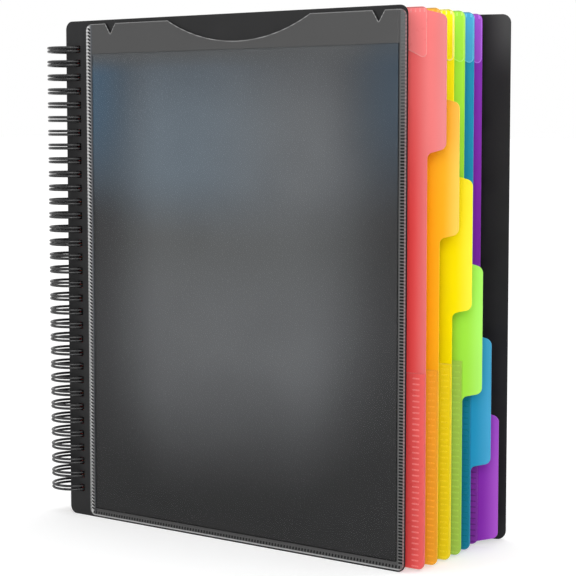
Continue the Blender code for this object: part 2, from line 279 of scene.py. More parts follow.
def thickened(name: str, skin: bmesh.types.BMesh, thickness: float) -> Mesh:
    """A closed film from a skin, half its thickness to either side. The film's walls are in material slot 1.

    Args:
        name: The mesh's name.
        skin: The skin, which is used up.
        thickness: The film's thickness.

    Returns:
        The film's mesh.
    """
    lower = list(skin.faces)
    copied = bmesh.ops.duplicate(skin, geom=list(skin.verts) + list(skin.edges) + lower)
    raised = {part for part in copied["geom"] if isinstance(part, bmesh.types.BMVert)}
    for vert in skin.verts:
        vert.co.z += thickness / 2 if vert in raised else -thickness / 2
    bmesh.ops.reverse_faces(skin, faces=lower)
    walls = bmesh.ops.bridge_loops(skin, edges=[edge for edge in skin.edges if edge.is_boundary])
    for wall in walls["faces"]:
        wall.material_index = 1
    bmesh.ops.recalc_face_normals(skin, faces=skin.faces)
    mesh = bpy.data.meshes.new(name)
    skin.to_mesh(mesh)
    skin.free()
    return mesh


def dressed(
    name: str, mesh: Mesh, materials: list[Material], body: str, stands_for: str | None = None
) -> Piece:
    """Makes a placed mesh a finished piece of the frame.

    Args:
        name: The piece's name.
        mesh: The mesh, at its place in the frame.
        materials: The materials, in the order of the mesh's slots.
        body: The body that the piece rides.
        stands_for: The CAD node that the piece stands for, if any.

    Returns:
        The piece.
    """
    slots = [polygon.material_index for polygon in mesh.polygons]
    mesh.materials.clear()
    for material in materials:
        mesh.materials.append(material)
    mesh.polygons.foreach_set("material_index", slots)
    piece = new_piece(name, mesh)
    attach(piece, body)
    if stands_for is not None:
        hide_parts(stands_for)
    log.info("%s: %d faces", name, len(mesh.polygons))
    return piece


# Node trees


class NodeMaker:
    """Adds nodes to a node tree."""

    def __init__(self, tree: bpy.types.NodeTree) -> None:
        """Keeps the tree."""
        self.tree = tree

    def node(self, kind: str, inputs: Inputs | None = None, **settings: Any) -> bpy.types.Node:
        """Adds a node.

        Args:
            kind: The node's type.
            inputs: A value or a socket for each input to set.
            settings: The node's own settings.

        Returns:
            The node.
        """
        node = self.tree.nodes.new(kind)
        for name, value in settings.items():
            setattr(node, name, value)
        for name, value in (inputs or {}).items():
            if isinstance(value, Socket):
                self.tree.links.new(value, node.inputs[name])
            else:
                node.inputs[name].default_value = value
        return node

    def out(self, kind: str, inputs: Inputs | None = None, **settings: Any) -> Socket:
        """Adds a node, as above, and gives its first output."""
        return self.node(kind, inputs, **settings).outputs[0]

    def calculate(self, operation: str, first: Any, second: Any = 0.0) -> Socket:
        """The result of one Math node."""
        return self.out("ShaderNodeMath", {0: first, 1: second}, operation=operation)

    def product(self, first: Any, *others: Any) -> Socket:
        """The product of values and sockets."""
        return reduce(partial(self.calculate, "MULTIPLY"), others, first)

    def spread(
        self, value: Socket, low: Any, high: Any, to_low: float = 0.0, to_high: float = 1.0, form: str = "SMOOTHSTEP"
    ) -> Socket:
        """A value's range mapped to another range and clamped, smoothly unless another form is given."""
        inputs = {"Value": value, "From Min": low, "From Max": high, "To Min": to_low, "To Max": to_high}
        return self.out("ShaderNodeMapRange", inputs, interpolation_type=form)

    def seen(self) -> Socket:
        """A value that is 1 for camera, glossy and transmission rays, and 0 for the rest.

        Returns:
            The value's socket.
        """
        path = self.node("ShaderNodeLightPath").outputs
        total = self.calculate("MAXIMUM", path["Is Camera Ray"], path["Is Glossy Ray"])
        return self.calculate("MAXIMUM", total, path["Is Transmission Ray"])


class GeometryTree(NodeMaker):
    """A Geometry Nodes tree under construction, with named inputs."""

    def __init__(self, name: str) -> None:
        """Starts a tree that takes and gives geometry.

        Args:
            name: The tree's name.
        """
        super().__init__(bpy.data.node_groups.new(name, "GeometryNodeTree"))
        self.tree.is_modifier = True
        for way in ("INPUT", "OUTPUT"):
            self.tree.interface.new_socket("Geometry", in_out=way, socket_type="NodeSocketGeometry")
        self.entry = self.tree.nodes.new("NodeGroupInput")
        self.exit = self.tree.nodes.new("NodeGroupOutput")
        self.sockets: dict[str, str] = {}

    def takes(self, kind: str, *names: str) -> list[Socket]:
        """Adds named inputs.

        Args:
            kind: The socket type without its prefix, such as Float or Int.
            names: The inputs' names.

        Returns:
            The sockets that give the inputs' values inside the tree.
        """
        for name in names:
            socket = self.tree.interface.new_socket(name, in_out="INPUT", socket_type=f"NodeSocket{kind}")
            self.sockets[name] = socket.identifier
        return [self.entry.outputs[name] for name in names]

    def start(self) -> Socket:
        """The geometry that the tree starts from."""
        return self.entry.outputs["Geometry"]

    def join(self, *sockets: Socket) -> Socket:
        """Joins several geometries into one.

        Args:
            sockets: The geometries.

        Returns:
            The joined geometry.
        """
        joined = self.tree.nodes.new("GeometryNodeJoinGeometry")
        for socket in sockets:
            self.tree.links.new(socket, joined.inputs[0])
        return joined.outputs[0]

    def vector(self, x: Any = 0.0, y: Any = 0.0, z: Any = 0.0) -> Socket:
        """A vector of three values or sockets."""
        return self.out("ShaderNodeCombineXYZ", {"X": x, "Y": y, "Z": z})

    def row(self, count: Socket, first: Socket, step: Socket) -> Socket:
        """A number of points in a row, from the first one on."""
        inputs = {"Count": count, "Start Location": first, "Offset": step}
        return self.out("GeometryNodeMeshLine", inputs, mode="OFFSET")

    def slab(self, width: Socket, height: Socket, radius: Socket) -> Socket:
        """A rectangle's outline as a curve, with its corners rounded."""
        corners = self.out("GeometryNodeCurvePrimitiveQuadrilateral", {"Width": width, "Height": height})
        return self.out("GeometryNodeFilletCurve", {"Curve": corners, "Count": 2, "Radius": radius}, mode="POLY")

    def plate(self, curve: Socket, thickness: Socket) -> Socket:
        """A closed plate that fills a curve, lying about z = 0.

        Args:
            curve: The outline and its holes.
            thickness: The plate's thickness.

        Returns:
            The plate's mesh.
        """
        filled = self.out("GeometryNodeFillCurve", {"Curve": curve})
        lift = {"Mesh": filled, "Offset": self.vector(z=1.0), "Offset Scale": thickness, "Individual": False}
        risen = self.out("GeometryNodeExtrudeMesh", lift)
        under = self.out("GeometryNodeFlipFaces", {"Mesh": filled})
        both = {"Geometry": self.join(risen, under), "Distance": PLATE_JOIN_DISTANCE}
        closed = self.out("GeometryNodeMergeByDistance", both)
        drop = self.vector(z=self.calculate("MULTIPLY", thickness, -0.5))
        return self.out("GeometryNodeTransform", {"Geometry": closed, "Translation": drop})

    def finish(self, geometry: Socket) -> "GeometryTree":
        """Ends the tree in Realize Instances and Set Material.

        Args:
            geometry: What the tree has made.

        Returns:
            The tree, ready to run.
        """
        (material,) = self.takes("Material", "Material")
        real = self.out("GeometryNodeRealizeInstances", {"Geometry": geometry})
        ended = self.out("GeometryNodeSetMaterial", {"Geometry": real, "Material": material})
        self.tree.links.new(ended, self.exit.inputs[0])
        return self

    def run(self, name: str, mesh: Mesh, values: dict[str, Any]) -> Mesh:
        """Runs the tree on a mesh.

        Args:
            name: The new mesh's name.
            mesh: The mesh that the tree starts from, which is used up.
            values: A value for each named input.

        Returns:
            The result as a plain mesh.
        """
        carrier = new_piece(f"{name}_carrier", mesh)
        modifier = carrier.modifiers.new("tree", "NODES")
        modifier.node_group = self.tree
        for label, value in values.items():
            modifier[self.sockets[label]] = value
        bpy.context.view_layer.update()
        graph = bpy.context.evaluated_depsgraph_get()
        made = bpy.data.meshes.new_from_object(carrier.evaluated_get(graph), depsgraph=graph)
        made.name = name
        carrier.modifiers.remove(modifier)
        bpy.data.objects.remove(carrier, do_unlink=True)
        bpy.data.meshes.remove(mesh)
        return made


def punched_sheet_tree() -> GeometryTree:
    """A sheet from its outline, with a row of binding holes up its spine side.

    Returns:
        The tree.
    """
    tree = GeometryTree("punched_sheet")
    thickness, width, height, radius, hole_x, first, pitch = tree.takes(
        "Float", "Thickness", "Hole Width", "Hole Height", "Hole Corner Radius", "Hole X", "First Hole", "Hole Pitch"
    )
    (count,) = tree.takes("Int", "Hole Count")
    outline = tree.out("GeometryNodeMeshToCurve", {"Mesh": tree.start()})
    row = tree.row(count, tree.vector(hole_x, first), tree.vector(y=pitch))
    hole = tree.slab(width, height, radius)
    holes = tree.out("GeometryNodeInstanceOnPoints", {"Points": row, "Instance": hole})
    holes = tree.out("GeometryNodeRealizeInstances", {"Geometry": holes})
    return tree.finish(tree.plate(tree.join(outline, holes), thickness))


def weld_bar_tree() -> GeometryTree:
    """Weld bars in a row along a path, each lying across it or slanted.

    Returns:
        The tree.
    """
    tree = GeometryTree("weld_bars")
    pitch, length, width, thickness, slant = tree.takes(
        "Float", "Pitch", "Bar Length", "Bar Width", "Bar Thickness", "Slant"
    )
    path = tree.out("GeometryNodeMeshToCurve", {"Mesh": tree.start()})
    points = tree.node("GeometryNodeCurveToPoints", {"Curve": path, "Length": pitch}, mode="LENGTH").outputs
    bar = tree.plate(tree.slab(width, length, tree.calculate("MULTIPLY", width, BAR_ROUNDING)), thickness)
    bar = tree.out("GeometryNodeTransform", {"Geometry": bar, "Rotation": tree.vector(z=slant)})
    turn = tree.out("FunctionNodeAlignRotationToVector", {"Vector": points["Tangent"]}, axis="X", pivot_axis="Z")
    bars = {"Points": points["Points"], "Instance": bar, "Rotation": turn}
    return tree.finish(tree.out("GeometryNodeInstanceOnPoints", bars))


def wire_loop_tree() -> GeometryTree:
    """One unbroken wire: a loop's points are repeated up the spine and threaded into a single tube.

    Returns:
        The tree.
    """
    tree = GeometryTree("wire_loops")
    count, sides = tree.takes("Int", "Loop Count", "Wire Sides")
    pitch, first, radius = tree.takes("Float", "Loop Pitch", "First Loop", "Wire Radius")
    row = tree.row(count, tree.vector(z=first), tree.vector(z=pitch))
    loops = tree.out("GeometryNodeInstanceOnPoints", {"Points": row, "Instance": tree.start()})
    loops = tree.out("GeometryNodeRealizeInstances", {"Geometry": loops})
    beads = tree.out("GeometryNodeMeshToPoints", {"Mesh": loops})
    thread = tree.out("GeometryNodePointsToCurves", {"Points": beads, "Weight": tree.out("GeometryNodeInputIndex")})
    profile = tree.out("GeometryNodeCurvePrimitiveCircle", {"Resolution": sides, "Radius": radius})
    tube = tree.out("GeometryNodeCurveToMesh", {"Curve": thread, "Profile Curve": profile, "Fill Caps": True})
    return tree.finish(tree.out("GeometryNodeSetShadeSmooth", {"Geometry": tube}))


class Recipe(NodeMaker):
    """A material's node tree under construction. Patterns read a sheet's own flat place, or Object coordinates."""

    def __init__(self, name: str, specular: float, place: SheetPlace | None = None, **constants: Any) -> None:
        """Starts a material.

        Args:
            name: The material's name.
            specular: The shader's specular level.
            place: The sheet whose flat place patterns read: X from the ring axis, Y through the sheet and Z up.
            constants: Values for the shader's other sockets, with spaces written as underscores.
        """
        self.material = bpy.data.materials.new(name)
        self.material.use_nodes = True
        super().__init__(self.material.node_tree)
        self.shader = self.tree.nodes["Principled BSDF"]
        for socket, value in {"Specular_IOR_Level": specular, "IOR": PLASTIC_IOR, **constants}.items():
            self.shader.inputs[socket.replace("_", " ")].default_value = value
        self.place = self.node("ShaderNodeTexCoord").outputs["Object"]
        if place is not None:
            inputs = {"Vector": self.place, "Location": RING_AXIS, "Rotation": (0.0, 0.0, place.turn)}
            self.place = self.out("ShaderNodeMapping", inputs, vector_type="TEXTURE")
        axes = self.node("ShaderNodeSeparateXYZ", {0: self.place}).outputs
        self.x, self.z = axes["X"], axes["Z"]

    def noise(self, size: float, detail: float = 3.0, stretch: float = 1.0) -> Socket:
        """Noise from 0 to 1, its patches about a size across, in metres, and longer upwards by a stretch."""
        place = self.out("ShaderNodeMapping", {"Vector": self.place, "Scale": (1.0, 1.0, 1.0 / stretch)})
        return self.out("ShaderNodeTexNoise", {"Vector": place, "Scale": 1.0 / size, "Detail": detail})

    def blend(self, share: Any, first: Any, second: Any, mode: str = "MIX") -> Socket:
        """Two colours or sockets mixed, with a share of the second one."""
        first, second = (value if isinstance(value, Socket) else (*value, 1.0) for value in (first, second))
        return self.node("ShaderNodeMix", {0: share, 6: first, 7: second}, data_type="RGBA", blend_type=mode).outputs[2]

    def mottled(self, tone: Socket, factor: float, pattern: Socket, low: float = 0.3, high: float = 0.7) -> Socket:
        """A tone that a factor darkens where a pattern goes from low to high."""
        return self.blend(self.spread(pattern, low, high), tone, grey(factor), "MULTIPLY")

    def ramp(self, value: Socket, stops: list[tuple[float, Colour]]) -> Socket:
        """A colour ramp with the given stops.

        Args:
            value: What the ramp reads, from 0 to 1.
            stops: Each stop's place and colour.

        Returns:
            The ramp's colour.
        """
        node = self.node("ShaderNodeValToRGB", {"Fac": value})
        node.color_ramp.interpolation = "EASE"
        elements = node.color_ramp.elements
        while len(elements) < len(stops):
            elements.new(0.5)
        for element, (position, colour) in zip(elements, stops):
            element.position = position
            element.color = (*colour, 1.0)
        return node.outputs[0]

    def done(self, colour: Socket, sheen: Socket, roughness: Span, *bumps: tuple[Socket, float, float]) -> Material:
        """Links the shader's sockets.

        Args:
            colour: The colour.
            sheen: The noise that the roughness follows.
            roughness: The least roughness and the greatest.
            bumps: Bumps to stack, each a height, a depth in metres and a strength.

        Returns:
            The material.
        """
        links = {"Base Color": colour, "Roughness": self.spread(sheen, 0.3, 0.7, *roughness)}
        for height, depth, strength in bumps:
            below = {"Normal": links["Normal"]} if "Normal" in links else {}
            inputs = {"Height": height, "Distance": depth, "Strength": strength, **below}
            links["Normal"] = self.out("ShaderNodeBump", inputs)
        for name, socket in links.items():
            self.tree.links.new(socket, self.shader.inputs[name])
        return self.material

    def crazed(self, tone: Socket, factor: float) -> Material:
        """Ends a weld's material: a tone with fine cracks, darkened in them by a factor.

        Args:
            tone: The weld's tone.
            factor: How much of the tone is left in a crack.

        Returns:
            The material.
        """
        crazing = self.noise(0.8 * MM)
        tone = self.mottled(tone, factor, crazing, 0.35)
        return self.done(tone, crazing, (0.28, 0.45), (crazing, 0.05 * MM, 0.15))


# Finishes


@dataclass(frozen=True)
class CoverPlastic:
    """Stiff black sheet with a frosted grain, rubbed a little lighter here and there, and may carry a painted sheen at
    its top fore corner.
    """

    name: str = "cover_black"
    specular: float = 0.2
    black: Colour = (0.009, 0.009, 0.0095)
    rubbed: Colour = (0.013, 0.013, 0.0135)
    roughness: Span = (0.40, 0.54)
    painted_sheen: Colour | None = None  # a painted sheen at the top fore corner
    sheen_upward: Span = (40 * MM, 4 * MM)  # below the top edge
    sheen_outward: Span = (18 * MM, 1 * MM)  # inside the fore edge

    def make(self, place: SheetPlace, fore: float) -> Material:
        """The material for a cover.

        Args:
            place: The cover's place.
            fore: The flat x of its fore edge.

        Returns:
            The material.
        """
        recipe = Recipe(self.name, self.specular, place)
        clouds = recipe.noise(34 * MM, 4.0, 2.5)
        grain = recipe.noise(0.35 * MM, 2.0)
        tone = recipe.blend(recipe.spread(clouds, 0.35, 0.75), self.black, self.rubbed)
        # painted sheen: lighter towards the top and the fore edge
        if self.painted_sheen is not None:
            upward = recipe.spread(recipe.z, *(SIZES.height - below for below in self.sheen_upward), 0.12)
            outward = recipe.spread(recipe.x, *(fore - inside for inside in self.sheen_outward))
            tone = recipe.blend(recipe.product(upward, outward), tone, self.painted_sheen)
        bumps = (clouds, 0.25 * MM, 0.10), (grain, 0.02 * MM, 0.2)
        return recipe.done(tone, recipe.noise(9 * MM), self.roughness, *bumps)


@dataclass(frozen=True)
class CutEdge:
    """The cut rim of a sheet, smoother than its faces. A tab's rim may have a tone of its own, such as a leaf tab's
    painted sheen.
    """

    name: str
    colour: Colour
    tab_colour: Colour
    roughness: Span = (0.3, 0.42)
    specular: float = 0.25
    ior: float = 1.5
    tab_start: float = 6 * MM  # how far beyond the body's fore edge the tab's tone is full

    def make(self, place: SheetPlace, fore: float) -> Material:
        """The material for the rim of a sheet.

        Args:
            place: The sheet's place.
            fore: The flat x of its body's fore edge, where a tab starts.

        Returns:
            The material.
        """
        recipe = Recipe(self.name, self.specular, place, IOR=self.ior)
        marks = recipe.noise(1.2 * MM, 2.0, 5.0)
        tone = recipe.blend(recipe.spread(recipe.x, fore, fore + self.tab_start), self.colour, self.tab_colour)
        tone = recipe.mottled(tone, 0.82, marks)
        return recipe.done(tone, marks, self.roughness, (marks, 0.03 * MM, 0.2))


@dataclass(frozen=True)
class LeafPlastic:
    """Dyed sheet, with painted shade where it lies inside the stack, its full colour at its body's fore edge, a painted
    sheen on the tab and painted light towards its top.
    """

    name: str
    stack_shade: Colour
    full: Colour
    pale: Colour
    lit: Colour
    lit_share: float
    edge_tint: Colour = (0.88, 0.82, 0.85)  # the body's very edge below the lower pocket's mouth
    spine_shade: Colour = (0.22, 0.22, 0.24)  # painted shade on the margin beside the wire
    tone_span: Span = (-22 * MM, 13 * MM)  # from the fore edge: the colour goes from painted shade to painted sheen
    lit_span: Span = (180 * MM, 285 * MM)  # the heights over which it is lit
    lit_end: float = 8 * MM  # beyond the fore edge
    spine_span: Span = (15 * MM, 24 * MM)  # from the spine edge: the margin's painted shade fades
    specular: float = 0.2
    roughness: Span = (0.36, 0.50)

    def make(self, place: SheetPlace, fore: float, mouth: float) -> Material:
        """The material for a leaf.

        Args:
            place: The leaf's place.
            fore: The flat x of its body's fore edge.
            mouth: The height of its lower pocket's mouth.

        Returns:
            The material.
        """
        recipe = Recipe(self.name, self.specular, place)
        x, z, spread = recipe.x, recipe.z, recipe.spread
        along = spread(x, fore + self.tone_span[0], fore + self.tone_span[1], form="LINEAR")
        clouds = recipe.noise(40 * MM, 3.0, 2.0)
        grain = recipe.noise(0.4 * MM, 2.0)
        # painted shade inside the stack, the full colour at the fore edge and a painted sheen on the tab
        dye_and_painted_light = recipe.ramp(along, [(0.0, self.stack_shade), (0.32, self.stack_shade), (0.66, self.full), (1.0, self.pale)])
        upper = spread(z, *self.lit_span, 0.0, self.lit_share)
        inner = spread(x, fore, fore + self.lit_end, 1.0, 0.0)
        dye_and_painted_light = recipe.blend(recipe.product(upper, inner), dye_and_painted_light, self.lit)
        below = spread(z, mouth - 0.3 * MM, mouth + 0.3 * MM, 1.0, 0.0)
        inside = spread(x, fore + 0.1 * MM, fore + 0.5 * MM, 1.0, 0.0)
        dye_and_painted_light = recipe.blend(recipe.product(below, inside), dye_and_painted_light, self.edge_tint, "MULTIPLY")
        # painted shade on the margin beside the wire
        margin = spread(x, place.spine + self.spine_span[0], place.spine + self.spine_span[1], 1.0, 0.0)
        dye_and_painted_light = recipe.blend(margin, dye_and_painted_light, self.spine_shade, "MULTIPLY")
        dye_and_painted_light = recipe.mottled(dye_and_painted_light, 0.96, clouds, 0.35)
        bumps = (clouds, 0.3 * MM, 0.1), (grain, 0.015 * MM, 0.2)
        return recipe.done(dye_and_painted_light, recipe.noise(8 * MM), self.roughness, *bumps)


@dataclass(frozen=True)
class LeafFilm:
    """Thin tinted film on a leaf, darker with painted shade where it lies in the stack, and only faintly translucent
    over its own colour.
    """

    name: str
    stack_shade: Colour
    full: Colour
    opacity: float = 0.96  # of each of its two faces
    shade_reach: float = 18 * MM  # this far inside the leaf's fore edge its painted shade is darkest
    specular: float = 0.2
    roughness: Span = (0.26, 0.40)

    def make(self, place: SheetPlace, fore: float) -> Material:
        """The material for a film.

        Args:
            place: The leaf's place.
            fore: The flat x of the leaf body's fore edge.

        Returns:
            The material.
        """
        recipe = Recipe(self.name, self.specular, place, Alpha=self.opacity)
        ripple = recipe.noise(14 * MM, 2.0, 3.0)
        # painted shade inside the stack, fading to the full colour at the fore edge
        dye_and_painted_light = recipe.blend(recipe.spread(recipe.x, fore - self.shade_reach, fore), self.stack_shade, self.full)
        dye_and_painted_light = recipe.mottled(dye_and_painted_light, 0.96, ripple, 0.35, 0.65)
        bumps = (ripple, 0.4 * MM, 0.12), (recipe.noise(0.5 * MM), 0.01 * MM, 0.1)
        return recipe.done(dye_and_painted_light, recipe.noise(5 * MM), self.roughness, *bumps)


@dataclass(frozen=True)
class FilmRim:
    """The bright line along a film's cut or welded rim, a painted highlight, duller along a leaf's upper edge."""

    name: str
    colour: Colour
    opacity: float = 0.95
    upper_share: float = 0.62  # how much of the tone is left along the upper edge
    upper_span: Span = (1.9 * MM, 1.4 * MM)  # below the covers' top: the tone changes
    specular: float = 0.15
    roughness: Span = (0.2, 0.34)

    def make(self, place: SheetPlace) -> Material:
        """The material for the rim of a film at its place.

        Args:
            place: The sheet's place.

        Returns:
            The material.
        """
        recipe = Recipe(self.name, self.specular, place, Alpha=self.opacity)
        marks = recipe.noise(2.5 * MM, 2.0)
        upper = recipe.spread(recipe.z, *(SIZES.height - below for below in self.upper_span))
        tone = recipe.blend(upper, self.colour, grey(self.upper_share), "MULTIPLY")
        tone = recipe.mottled(tone, 0.85, marks)
        return recipe.done(tone, marks, self.roughness, (marks, 0.05 * MM, 0.1))


@dataclass(frozen=True)
class PocketSeam:
    """The film's rim round the cover pocket, bright as a painted highlight: beads down the spine side and the foot, a
    duller fore side tinted by a painted reflection of the red leaf.
    """

    name: str
    mouth: Colour = grey(0.26)
    spine: Colour = grey(0.54)
    foot: Colour = grey(0.36)
    # a painted reflection of the red leaf in the fore side
    fore: Colour = (0.28, 0.175, 0.18)
    low_share: float = 0.6  # how much of the spine side's tone is left low down
    opacity: float = 0.95
    bead_pitch: float = 2.05 * MM
    foot_span: Span = (3.0 * MM, 6.0 * MM)  # the heights over which the foot's tone ends
    low_span: Span = (60 * MM, 220 * MM)  # the heights over which the spine side's grows full
    fore_span: Span = (4 * MM, 1 * MM)  # from the fore side: its tone grows full
    spine_span: Span = (1 * MM, 2.5 * MM)  # from the spine side: its tone ends
    specular: float = 0.2
    roughness: Span = (0.2, 0.34)

    def make(self, place: SheetPlace, left: float, right: float) -> Material:
        """The material for the rim of the cover's film.

        Args:
            place: The film's place.
            left: The flat x of its spine side.
            right: The flat x of its fore side.

        Returns:
            The material.
        """
        recipe = Recipe(self.name, self.specular, place, Alpha=self.opacity)
        x, z, spread = recipe.x, recipe.z, recipe.spread
        tone = recipe.blend(spread(z, *self.foot_span, 1.0, 0.0), self.mouth, self.foot)
        tone = recipe.blend(spread(x, *(right - inside for inside in self.fore_span)), tone, self.fore)
        spine = recipe.blend(spread(z, *self.low_span, 1.0, 0.0), self.spine, grey(self.low_share), "MULTIPLY")
        tone = recipe.blend(spread(x, *(left + inside for inside in self.spine_span), 1.0, 0.0), tone, spine)
        beads = recipe.calculate("SINE", recipe.product(z, math.tau / self.bead_pitch))
        tone = recipe.mottled(tone, 0.60, beads, -1.0, 1.0)
        marks = recipe.noise(2.5 * MM, 2.0)
        return recipe.done(tone, marks, self.roughness, (marks, 0.05 * MM, 0.15))


@dataclass(frozen=True)
class WeldMark:
    """A weld bar pressed into a film, crazed. Its tone may change towards the top of its sheet."""

    name: str
    colour: Colour = grey(0.004)
    top_colour: Colour | None = None
    change_from: float = 0.0  # the height where the tone starts to change
    change_end: float = 12 * MM  # below the covers' top
    specular: float = 0.12

    def make(self, place: SheetPlace) -> Material:
        """The material for weld bars on a sheet at its place.

        Args:
            place: The sheet's place.

        Returns:
            The material.
        """
        recipe = Recipe(self.name, self.specular, place)
        height = recipe.spread(recipe.z, self.change_from, SIZES.height - self.change_end, form="LINEAR")
        return recipe.crazed(recipe.blend(height, self.colour, self.top_colour or self.colour), 0.85)


@dataclass(frozen=True)
class WeldBand:
    """The strip where the cover's film is welded down, crazed, with its tone changing across it. Its greys are partly
    the film's haze and partly a painted reflection.
    """

    name: str
    start_tone: Colour
    end_tone: Colour
    low_share: float = 1.0  # how much of the end tone is left in the sheet's lower part
    low_span: Span = (60 * MM, 150 * MM)  # the heights over which it grows full
    specular: float = 0.12

    def make(self, place: SheetPlace, start: float, end: float) -> Material:
        """The material for a strip.

        Args:
            place: The cover's place.
            start: The flat x where the tone starts to change.
            end: The flat x where the change ends.

        Returns:
            The material.
        """
        recipe = Recipe(self.name, self.specular, place)
        low = recipe.spread(recipe.z, *self.low_span, 1.0, 0.0)
        end_tone = recipe.blend(low, self.end_tone, grey(self.low_share), "MULTIPLY")
        return recipe.crazed(recipe.blend(recipe.spread(recipe.x, start, end), self.start_tone, end_tone), 0.90)


@dataclass(frozen=True)
class ClearFilm:
    """The cover's clear film: a grey veil, partly its haze and partly a painted reflection, all but invisible over the
    sheet and milky along its free lip.
    """

    name: str
    veil: float = 0.5
    opacity: float = 0.004  # of each of its two faces
    specular: float = 0.12
    roughness: Span = (0.16, 0.26)

    def make(self, place: SheetPlace) -> Material:
        """The material for the film over a cover at its place.

        Args:
            place: The cover's place.

        Returns:
            The material.
        """
        recipe = Recipe(self.name, self.specular, place, Alpha=self.opacity)
        ripple = recipe.noise(30 * MM, 2.0, 2.0)
        veil = recipe.blend(ripple, grey(self.veil), grey(self.veil * 1.06))
        return recipe.done(veil, recipe.noise(6 * MM), self.roughness, (ripple, 0.4 * MM, 0.1))


@dataclass(frozen=True)
class PrintedCard:
    """The sheet in the cover's pocket: a plain dark print with a soft light field and a fine woven texture. Its tones
    also carry the clear film's veil, partly the film's haze and partly a painted reflection.
    """

    name: str
    dark: Colour = (0.022, 0.022, 0.0225)
    light: Colour = (0.108, 0.112, 0.117)
    waist: Colour = (0.093, 0.097, 0.099)  # a duller stretch above the light part
    sky: Colour = (0.113, 0.138, 0.163)  # the light field's upper part, towards the spine
    pale_sky: Colour = (0.115, 0.122, 0.130)  # and towards the fore edge
    cool: Colour = (0.054, 0.090, 0.130)  # the upper corners
    top: Colour = (0.076, 0.080, 0.083)  # the upper edge
    foot: Colour = grey(0.004)  # a thin painted shadow line along the foot
    raised: Span = (185 * MM, 225 * MM)  # the heights over which the field grows wider
    spine_rise: Span = (2 * MM, 62 * MM)  # from the spine side: the field grows light
    spine_widening: float = 22 * MM  # from the spine side: where its raised part is widened most
    fore_fall: Span = (68 * MM, -2 * MM)  # from the fore side: the field grows dark
    fore_widening: float = 10 * MM
    tilt: float = 0.09  # of the field's lower end, per metre across
    bulge: float = 14 * MM
    field_rise: Span = (23 * MM, 118 * MM)  # the heights over which the field begins
    field_fade: Span = (236 * MM, 296 * MM)  # and fades
    waist_rise: Span = (128 * MM, 172 * MM)
    sky_rise: Span = (172 * MM, 215 * MM)
    sky_sides: Span = (70 * MM, 60 * MM)  # from the spine side and the fore side: the sky's tone changes between
    cool_rise: Span = (185 * MM, 255 * MM)
    cool_sides: Span = (42 * MM, 44 * MM)  # how far it reaches in from the spine side and the fore side
    top_rise: Span = (271 * MM, 285 * MM)
    top_fall: Span = (40 * MM, 10 * MM)  # from the fore side
    foot_shadow_end: Span = (5.9 * MM, 6.4 * MM)
    thread: float = 0.62 * MM
    thread_share: float = 0.90  # how much of the tone is left in the weave's hollows
    specular: float = 0.1
    roughness: Span = (0.5, 0.62)
    ior: float = 1.45

    def make(self, place: SheetPlace, left: float, right: float) -> Material:
        """The material for the sheet.

        Args:
            place: The sheet's place.
            left: The flat x of its spine side.
            right: The flat x of its fore side.

        Returns:
            The material.
        """
        recipe = Recipe(self.name, self.specular, place, IOR=self.ior)
        x, z, spread, calculate = recipe.x, recipe.z, recipe.spread, recipe.calculate
        blend, product = recipe.blend, recipe.product
        # How light the field is across the sheet. It is wider in its raised part.
        raised = spread(z, *self.raised)
        rise_start, rise_end = (left + inside for inside in self.spine_rise)
        wider = product(raised, spread(x, left + self.spine_widening, rise_end, 0.20, 0.0))
        rise = calculate("MINIMUM", calculate("ADD", spread(x, rise_start, rise_end, 0.20), wider), 1.0)
        fall_start = calculate("ADD", product(raised, self.fore_widening), right - self.fore_fall[0])
        across = product(rise, spread(x, fall_start, right - self.fore_fall[1], 1.0, 0.17))
        # Its lower end is tilted and bulges down, and its upper end fades.
        tilt = product(calculate("SUBTRACT", x, left), self.tilt)
        bulge = product(calculate("POWER", across, 3.0), self.bulge)
        lowered = calculate("SUBTRACT", calculate("ADD", z, bulge), tilt)
        upright = product(spread(lowered, *self.field_rise), spread(z, *self.field_fade, 1.0, 0.6))
        haze = spread(recipe.noise(60 * MM, 2.0), 0.3, 0.7, 0.90, 1.04)
        sky = blend(spread(x, left + self.sky_sides[0], right - self.sky_sides[1]), self.sky, self.pale_sky)
        bright = blend(spread(z, *self.sky_rise), self.waist, sky)
        bright = blend(spread(z, *self.waist_rise), self.light, bright)
        printed = blend(product(across, upright, haze), self.dark, bright)
        # The upper corners and edge, the weave and the foot lie over it.
        spine_side = spread(x, left, left + self.cool_sides[0], 1.0, 0.0)
        fore_side = spread(x, right - self.cool_sides[1], right, 0.0, 0.46)
        sides = calculate("ADD", spine_side, fore_side)
        printed = blend(product(spread(z, *self.cool_rise), sides), printed, self.cool)
        inward = spread(x, *(right - inside for inside in self.top_fall), 1.0, 0.35)
        printed = blend(product(spread(z, *self.top_rise, 0.0, 0.95), inward), printed, self.top)
        warp, weft = (calculate("SINE", product(axis, math.tau / self.thread)) for axis in (x, z))
        weave = spread(product(warp, weft), -1.0, 1.0)
        printed = blend(weave, printed, grey(self.thread_share), "MULTIPLY")
        # a painted shadow line along the foot
        printed = blend(spread(z, *self.foot_shadow_end), self.foot, printed)
        bumps = (weave, 0.01 * MM, 0.15), (recipe.noise(50 * MM, 1.0), 0.4 * MM, 0.1)
        return recipe.done(printed, recipe.noise(10 * MM), self.roughness, *bumps)


